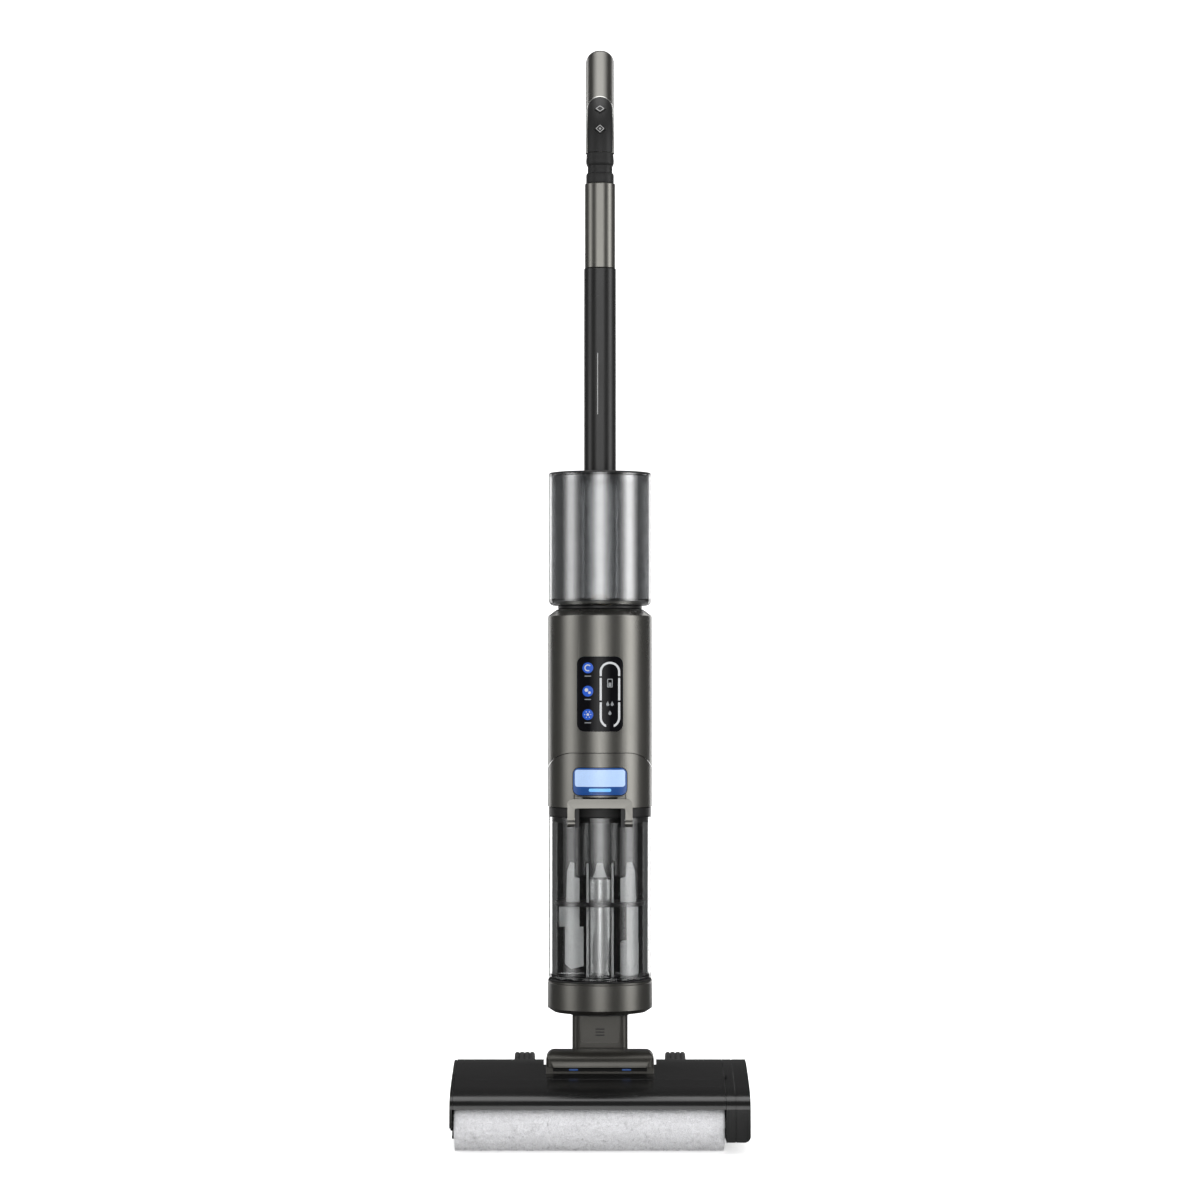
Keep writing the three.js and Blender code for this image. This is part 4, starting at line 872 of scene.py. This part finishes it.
def dirty_tank():
    z0, z1 = DIRTY_LOW.z, DIRTY_HIGH.z
    outline = [(0, z0), (TANK_R - 2, z0), (TANK_R - 0.6, z0 + 0.6), (TANK_R, z0 + 2), (TANK_R, z1), (0, z1)]
    outside = lathe(outline)
    inside = common(lathe([(0, z0 + 3), (TANK_R - 5, z0 + 3), (TANK_R - 3.1, z0 + 3.8),
                           (TANK_R - 2.5, z0 + 5.5), (TANK_R - 2.5, z1 + 1), (0, z1 + 1)]), in_front(BACK))
    # The cup's back wall is near-black, not clear: painted shade, so the back of the cup looks dark and dim.
    back = common(lathe(outline), box((-60, BACK - 2.5, z0 - 1), (60, BACK, z1 + 1)))
    piece(back, "dirty_cup_back", "dirty_tank", "black_plastic", SHADE_BLACK, edge=0.5)
    cup = cut(common(outside, in_front(BACK - 2.52)), inside, disc(12, z0 - 1, z0 + 5, centre=INLET))
    piece(cup, "dirty_cup_clear", "dirty_tank", "smoke_clear", CLEAR, ["dirty_tank_cup"], edge=0.7)

    top, under = node_box("dirty_tank_lid")[1].z, z1 + GAP
    plate = common(lathe([(0, under), (TANK_R - 0.5, under), (TANK_R, under + 0.5), (TANK_R, top - 0.5),
                          (TANK_R - 0.5, top), (0, top)]), in_front(BACK))
    plug = common(ring(42, TANK_R - 2.9, z1 - 5, z1 + 1), in_front(BACK - 2.9))
    ears = [box((x, -60, 312), (x + 4, -44, top)) for x in (-24.5, 20.5)]
    ears = [cut(ear, common(disc(TANK_R + 0.4, 300, under), box((-60, -60, 300), (60, 0, under))))
            for ear in ears]
    made = cut(join(plate, plug, *ears), disc(16, 300, top + 1, centre=INLET),
               *[disc(2.6, a, b, "X", (0, BAIL_Y, BAIL_Z), 24) for a, b in ((-25, -20), (20, 25))])
    piece(made, "dirty_lid_shell", "dirty_tank", "black_plastic", BLACK, ["dirty_tank_lid"], edge=0.4)

    pipe = lathe([(11.5, 163.4), (15.5, 163.4), (14, 168), (14, 258), (15, 261), (11.5, 261)], centre=INLET,
                 sides=96)
    baffle = common(lathe([(0, 233), (44.6, 233), (45, 233.4), (45, 236.6), (44.6, 237), (0, 237)]),
                    in_front(BACK - 6))
    baffle = cut(baffle, disc(14.3, 200, 260, centre=INLET), disc(11.5, 200, 260, centre=(29, -12, 0)))
    piece(pipe, "standpipe_tube", "dirty_tank", "frosted_plastic", TUBE, ["standpipe"], edge=0.4)
    piece(baffle, "standpipe_baffle", "dirty_tank", "black_plastic", BLACK, edge=0.4)
    for n, x in enumerate((-12.2, 12.2)):
        rod = lathe([(0, 163.4), (1.2, 163.4), (1.1, 275), (0.7, 276), (0, 276)], centre=(x, -34, 0),
                    sides=32)
        piece(rod, f"guide_rod_{n + 1}", "dirty_tank", "frosted_plastic", FROSTED, edge=0)
    panels = [
        [(-33, 237.3), (-20, 237.3), (-20, 261), (-25, 262), (-25, 276), (-29, 277), (-32, 268)],
        [(20, 237.3), (35, 237.3), (34, 268), (31, 277), (26, 276), (25, 262), (20, 261)],
        [(-40, 213), (-34, 213), (-34, 176), (-28, 171), (-16, 174), (-16, 213), (-20, 213), (-20, 232.7),
         (-40, 232.7)],
        [(26, 176), (30, 171), (37, 176), (37, 232.7), (26, 232.7)],
        [(-7, 261.6), (7, 261.6), (4.5, 268), (3.2, 276), (-3.2, 276), (-4.5, 268)],
    ]
    for n, outline in enumerate(panels):
        plate = prism(outline, -30, -28, "Y")
        piece(plate, f"flow_plate_{n + 1}", "dirty_tank", "frosted_plastic", FROSTED, edge=0.5)
    float_low, float_high = node_box("tank_float")
    cx, cy = (float_low.x + float_high.x) / 2, (float_low.y + float_high.y) / 2
    body = lathe([(0, float_low.z), (7.5, float_low.z), (9, float_low.z + 1.5), (9, float_high.z - 2),
                  (7, float_high.z), (0, float_high.z)], centre=(cx, cy, 0), sides=64)
    piece(body, "float_body", "float", "frosted_plastic", FROSTED, ["tank_float"], edge=0.3)


def filter_cage():
    low, high = node_box("filter_cage")
    cage = lathe([(0, low.z), (22.5, low.z), (24, low.z + 1.5), (24, high.z), (17, high.z), (17, low.z + 4),
                  (0, low.z + 4)], centre=INLET, sides=96)
    windows = []
    for k in range(-2, 3):
        window = prism(rounded(6, 36, 2.5, (0, 290)), 15, 28, "Y")
        window.data.transform(Matrix.Rotation(math.radians(45 * k), 4, "Z"))
        window.data.transform(Matrix.Translation(Vector(INLET) * MM))
        windows.append(window)
    piece(cut(cage, *windows), "filter_cage_frame", "dirty_tank", "black_plastic", GLOSS, ["filter_cage"],
          edge=0.3)
    count, profile = 48, []
    for k in range(count * 2):
        radius = 16.4 if k % 2 else 14.2
        a = math.pi * k / count
        profile.append((INLET[0] + radius * math.cos(a), INLET[1] + radius * math.sin(a)))
    pleats = prism(profile, 267, 319, "Z")
    piece(pleats, "filter_pleats", "dirty_tank", "frosted_plastic", GREY, edge=0, degrees=10)


def bail():
    high = node_box("tank_bail")[1]
    half, leg, top = high.x, 7, high.z
    bar = top - 9
    inner = half - leg
    outline = arc((-half + leg / 2, BAIL_Z), leg / 2, 180, 360, 12)
    outline += [(-inner, bar - 2), (-inner + 2, bar), (inner - 2, bar), (inner, bar - 2)]
    outline += arc((half - leg / 2, BAIL_Z), leg / 2, 180, 360, 12)
    outline += arc((half - 5, top - 5), 5, 0, 90) + arc((-half + 5, top - 5), 5, 90, 180)
    made = prism(outline, -58, -52.5, "Y")
    for x0, x1 in ((-half, -inner), (inner, half)):
        made = join(made, disc(3.55, x0, x1, "X", (0, -56.6, BAIL_Z), 40))
    for x0, x1 in ((-26, -21), (21, 26)):
        made = join(made, disc(2.2, x0, x1, "X", (0, BAIL_Y, BAIL_Z), 24))
    piece(made, "bail_frame", "bail", "grey_paint", PAINT, ["tank_bail"], edge=0.8)


dirty_tank()
filter_cage()
bail()

# ---------- Clean water tank ----------


def rounded_groove(grow):
    """The channel for the pole, with a rounded floor."""
    wall, bed = 17.2 + grow, 13 - grow
    outline = [(wall, 60), (-wall, 60), (-wall, 18)]
    outline += bezier((-wall, 18), (-wall, bed), (-14, bed), (-10, bed), 8)
    outline += [(10, bed)] + bezier((10, bed), (14, bed), (wall, bed), (wall, 18), 8)
    return prism(outline, 500, 700, "Z")


def clean_tank():
    low, high = node_box("clean_tank_shell")
    z0, z1 = low.z, high.z
    outer_foot = round_foot(TANK_R, z0, 5, (0, 18, 36, 54, 72, 90))
    outside = lathe([(0, z0), *outer_foot, (TANK_R, z1), (0, z1)])
    inner = TANK_R - 2.5
    inner_foot = round_foot(inner, z0 + 2.5, 4, (0, 22, 45, 67, 90))
    inside = lathe([(0, z0 + 2.5), *inner_foot, (inner, z1 + 1), (0, z1 + 1)])
    made = cut(outside, rounded_groove(0), cut(inside, rounded_groove(2.5)),
               disc(5.5, 500, 540, centre=VALVE, sides=40))
    piece(made, "clean_tank_clear", "clean_tank", "smoke_clear", SMOKE, ["clean_tank_shell"], edge=0.5)
    low, high = node_box("clean_tank_lid")
    top, under = high.z, z1 + GAP
    plate = lathe([(0, under), (TANK_R - 0.4, under), (TANK_R, under + 0.4), (TANK_R, top - 0.8),
                   (TANK_R - 0.8, top), (0, top)])
    plug = cut(ring(44, TANK_R - 2.9, z1 - 6, z1 + 1), rounded_groove(2.9))
    cap_low, cap_high = node_box("fill_cap")
    middle = top - 1.9
    rim = cut(common(plate, box((-60, -60, middle), (60, 60, top))), rounded_groove(0))
    glass = lathe([(0, under), (TANK_R - 0.4, under), (TANK_R, under + 0.4), (TANK_R, middle - 0.02),
                   (0, middle - 0.02)])
    rim = cut(rim, disc(17.8, middle - 1, 700, centre=FILL, sides=96),
              box((-8, -14, middle - 1), (8, -2.6, 700)))
    piece(rim, "clean_lid_shell", "clean_tank", "black_plastic", BLACK, ["clean_tank_lid"], edge=0.3)
    glass = cut(join(cut(glass, rounded_groove(0)), plug), disc(14, 600, 700, centre=FILL))
    piece(glass, "clean_lid_plug", "clean_tank", "smoke_clear", SMOKE, edge=0.3)
    cap = lathe([(0, cap_low.z), (12.4, cap_low.z), (12.8, cap_low.z + 0.6), (12.8, top - 1.5),
                 (17, top - 1.5), (17, top - 0.5), (16.5, top), (13.4, top), (13, top - 0.4), (12.6, top),
                 (0, top)], centre=FILL, sides=96)
    strap = box((-7, -14, top - 1.5), (7, cap_high.y, top - 0.1))
    piece(join(cap, strap), "fill_cap_plug", "cap", "rubber", RUBBER, ["fill_cap"], edge=0.25)
    band = lathe([(TANK_R - 7, 0), (TANK_R - 4.6, 0), (TANK_R - 3.2, 1.2), (TANK_R - 2.8, 3),
                  (TANK_R - 7, 3)])
    band.data.transform(Matrix.Translation(Vector((0, 0, z0 + 3.2)) * MM))
    piece(cut(band, rounded_groove(3)), "tank_floor_seal", "clean_tank", "rubber", RUBBER, edge=0.2)


clean_tank()

# ---------- Pole and grip ----------

POLE_Y = 28


def tube(width, depth, corner, wall, low, high):
    outer = prism(rounded(width, depth, corner, (0, POLE_Y), 14), low, high, "Z")
    inner = prism(rounded(width - 2 * wall, depth - 2 * wall, corner - wall, (0, POLE_Y), 14), low - 1,
                  high + 1, "Z")
    return cut(outer, inner)


def pole():
    low, high = node_box("pole")
    piece(tube(32.4, 28, 13.6, 1.8, low.z, high.z), "pole_tube", "body", "pole_paint", POLE_PAINT, ["pole"],
          edge=0.5)
    line = prism(rounded(0.9, 62, 0.4, (-2.4, 755)), 13.86, 14.3, "Y")
    piece(line, "pole_accent_line", "body", "grey_paint", MARK, edge=0)
    low, high = node_box("pole_collar")
    collar = tube(31, 27, 13.2, 2, low.z, high.z)
    piece(collar, "collar_sleeve", "body", "grey_paint", PAINT, ["pole_collar"], edge=0.7)
    low, high = node_box("grip_stem")
    steps = [(27, low.z), (28, low.z + 1), (28, 966.5), (27.2, 968), (25, 968.6), (25, 976), (26.4, 976.6),
             (28, 979), (28.2, 981.4), (27.6, 984), (27, high.z)]
    rings = [[(x, y, z) for x, y in rounded(w, w - 2, w / 2 - 2.6, (0, POLE_Y), 14)] for w, z in steps]
    piece(from_rings(rings), "stem_block", "body", "black_plastic", SATIN, ["grip_stem"], edge=0)


GRIP_START, GRIP_BEND, GRIP_ANGLE, GRIP_STRAIGHT, GRIP_END = 989, 60, math.radians(46.2), 89.9, 12.3
GRIP_W, GRIP_D, GRIP_CORNER = 29.2, 29, 13.8
GRIP_LENGTH = GRIP_BEND * GRIP_ANGLE + GRIP_STRAIGHT
PANEL_HALF, PANEL_TOP, PANEL_ARCH, PANEL_EDGE, PANEL_THICK = 12.6, 1049, 1035, 6, 2.2
BUTTON_LENGTHS = {"mode": GRIP_BEND * 0.322, "power": GRIP_BEND * 0.656}


def grip_frame(length):
    """Centre of the grip at a length along it, and its lean from upright."""
    turn = min(max(length / GRIP_BEND, 0), GRIP_ANGLE)
    past = max(0, length - GRIP_BEND * GRIP_ANGLE)
    y = POLE_Y + GRIP_BEND * (1 - math.cos(turn)) + past * math.sin(turn)
    z = GRIP_START + GRIP_BEND * math.sin(turn) + past * math.cos(turn) + min(length, 0)
    return Vector((0, y, z)), turn


def grip_ring(section, length):
    """A section of (x, towards the front) pairs, set across the grip."""
    centre, turn = grip_frame(length)
    front = Vector((0, -math.cos(turn), math.sin(turn)))
    return [centre + Vector((x, 0, 0)) + front * f for x, f in section]


def swept(section, start, end, steps):
    return from_rings([grip_ring(section, start + (end - start) * i / steps) for i in range(steps + 1)])


def grip_section(inset):
    return rounded(GRIP_W - 2 * inset, GRIP_D - 2 * inset, GRIP_CORNER - inset, steps=14)


def panel_region(grow, start):
    """Where the panel lies, seen from the front: straight sides and an arched top."""
    half = PANEL_HALF + grow
    arch = [(half * math.cos(t), PANEL_ARCH + (PANEL_TOP + grow - PANEL_ARCH) * math.sin(t))
            for t in [math.pi * k / 32 for k in range(33)]]
    view = prism([(half, 984), *arch, (-half, 984)], -60, 60, "Y")
    band = [(-half, PANEL_EDGE - grow), (half, PANEL_EDGE - grow), (half, 16), (-half, 16)]
    return common(view, swept(band, start, 62, 30))


def grip():
    section = grip_section(0)
    rings = [grip_ring(section, GRIP_LENGTH * i / 44) for i in range(45)]
    for t in range(1, 14):
        a = math.pi / 2 * t / 13.3
        small = math.cos(a)
        rings.append(grip_ring([(x * small, f * small) for x, f in section],
                               GRIP_LENGTH + GRIP_END * math.sin(a)))
    body = from_rings(rings)
    bed = cut(panel_region(1.2, -2), swept(grip_section(PANEL_THICK + GAP), -3, 64, 34))
    hole = swept([(-8, 8), (8, 8), (8, 14), (-8, 14)], 5, 47, 16)
    piece(cut(body, bed, hole), "grip_body", "body", "grey_paint", PAINT, ["grip_shell"], edge=0.35)
    frame_skin = cut(swept(grip_section(-0.05), -3, 64, 34), swept(grip_section(PANEL_THICK), -4, 65, 34))
    trim = cut(common(panel_region(1.15, 0.2), frame_skin), panel_region(0.2, -3))
    piece(trim, "grip_panel_trim", "body", "grey_paint", TRIM, edge=0.2)
    skin = cut(swept(grip_section(0.1), -3, 64, 34), swept(grip_section(PANEL_THICK), -4, 65, 34))
    holes = [button_form(BUTTON_ACROSS + 1, 8, 20, length) for length in BUTTON_LENGTHS.values()]
    plate = cut(common(panel_region(0, 0.2), skin), *holes)
    piece(plate, "grip_panel_plate", "body", "gloss_black", SATIN, ["grip_panel"], edge=0.25)


BUTTON_ACROSS = 10.4


def button_form(across, low, high, length):
    """A diamond with rounded corners, this far across its corners, square to the grip at this length."""
    centre, turn = grip_frame(length)
    along = Vector((0, math.sin(turn), math.cos(turn)))
    front = Vector((0, -math.cos(turn), math.sin(turn)))
    radius = across * 0.1
    side = (across / 2 + radius * (math.sqrt(2) - 1)) * math.sqrt(2)
    rows = []
    for f in (low, high):
        row = []
        for u, v in rounded(side, side, radius, steps=6):
            aside = Vector(((u - v) * math.sqrt(0.5), 0, 0))
            row.append(centre + aside + along * (u + v) * math.sqrt(0.5) + front * f)
        rows.append(row)
    return from_rings(rows)


def buttons():
    top = GRIP_D / 2 + 0.7
    for name, length in BUTTON_LENGTHS.items():
        cap = button_form(BUTTON_ACROSS, 10.6, top - 0.08, length)
        piece(cap, f"{name}_cap", name, "black_plastic", BLACK, [f"{name}_button"], edge=0.35)
        mark = cut(button_form(8.4, top - 0.5, top, length), button_form(6.2, top - 1, top + 1, length))
        piece(mark, f"{name}_mark", name, "black_plastic", MARK, edge=0)
        if name == "mode":
            piece(button_form(2.8, top - 0.5, top, length), "mode_dot", name, "black_plastic", MARK, edge=0)


pole()
grip()
buttons()

# ---------- CAD nodes that stay as they are ----------

KEPT = {
    BLACK: ["head_base", "swivel_ring", "water_pump"],
    GREY: ["suction_duct", "spray_bar", "brush_core", "brush_pulley", "fan_wheel"],
    RUBBER: ["brush_scraper", "drive_belt"],
    STEEL: ["brush_motor", "motor_pulley", "pivot_pin_right", "pivot_pin_left", "wheel_axle_right",
            "wheel_axle_left", "suction_motor"],
    FROSTED: ["water_tube"],
    BOARD: ["display_board"],
    CELL: ["battery_pack"],
    BRASS: ["outlet_valve"],
}
for finish, names in KEPT.items():
    for name in names:
        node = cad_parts[name]
        node.data.materials.clear()
        node.data.materials.append(finish)
        soften(node, 0.4, 2)
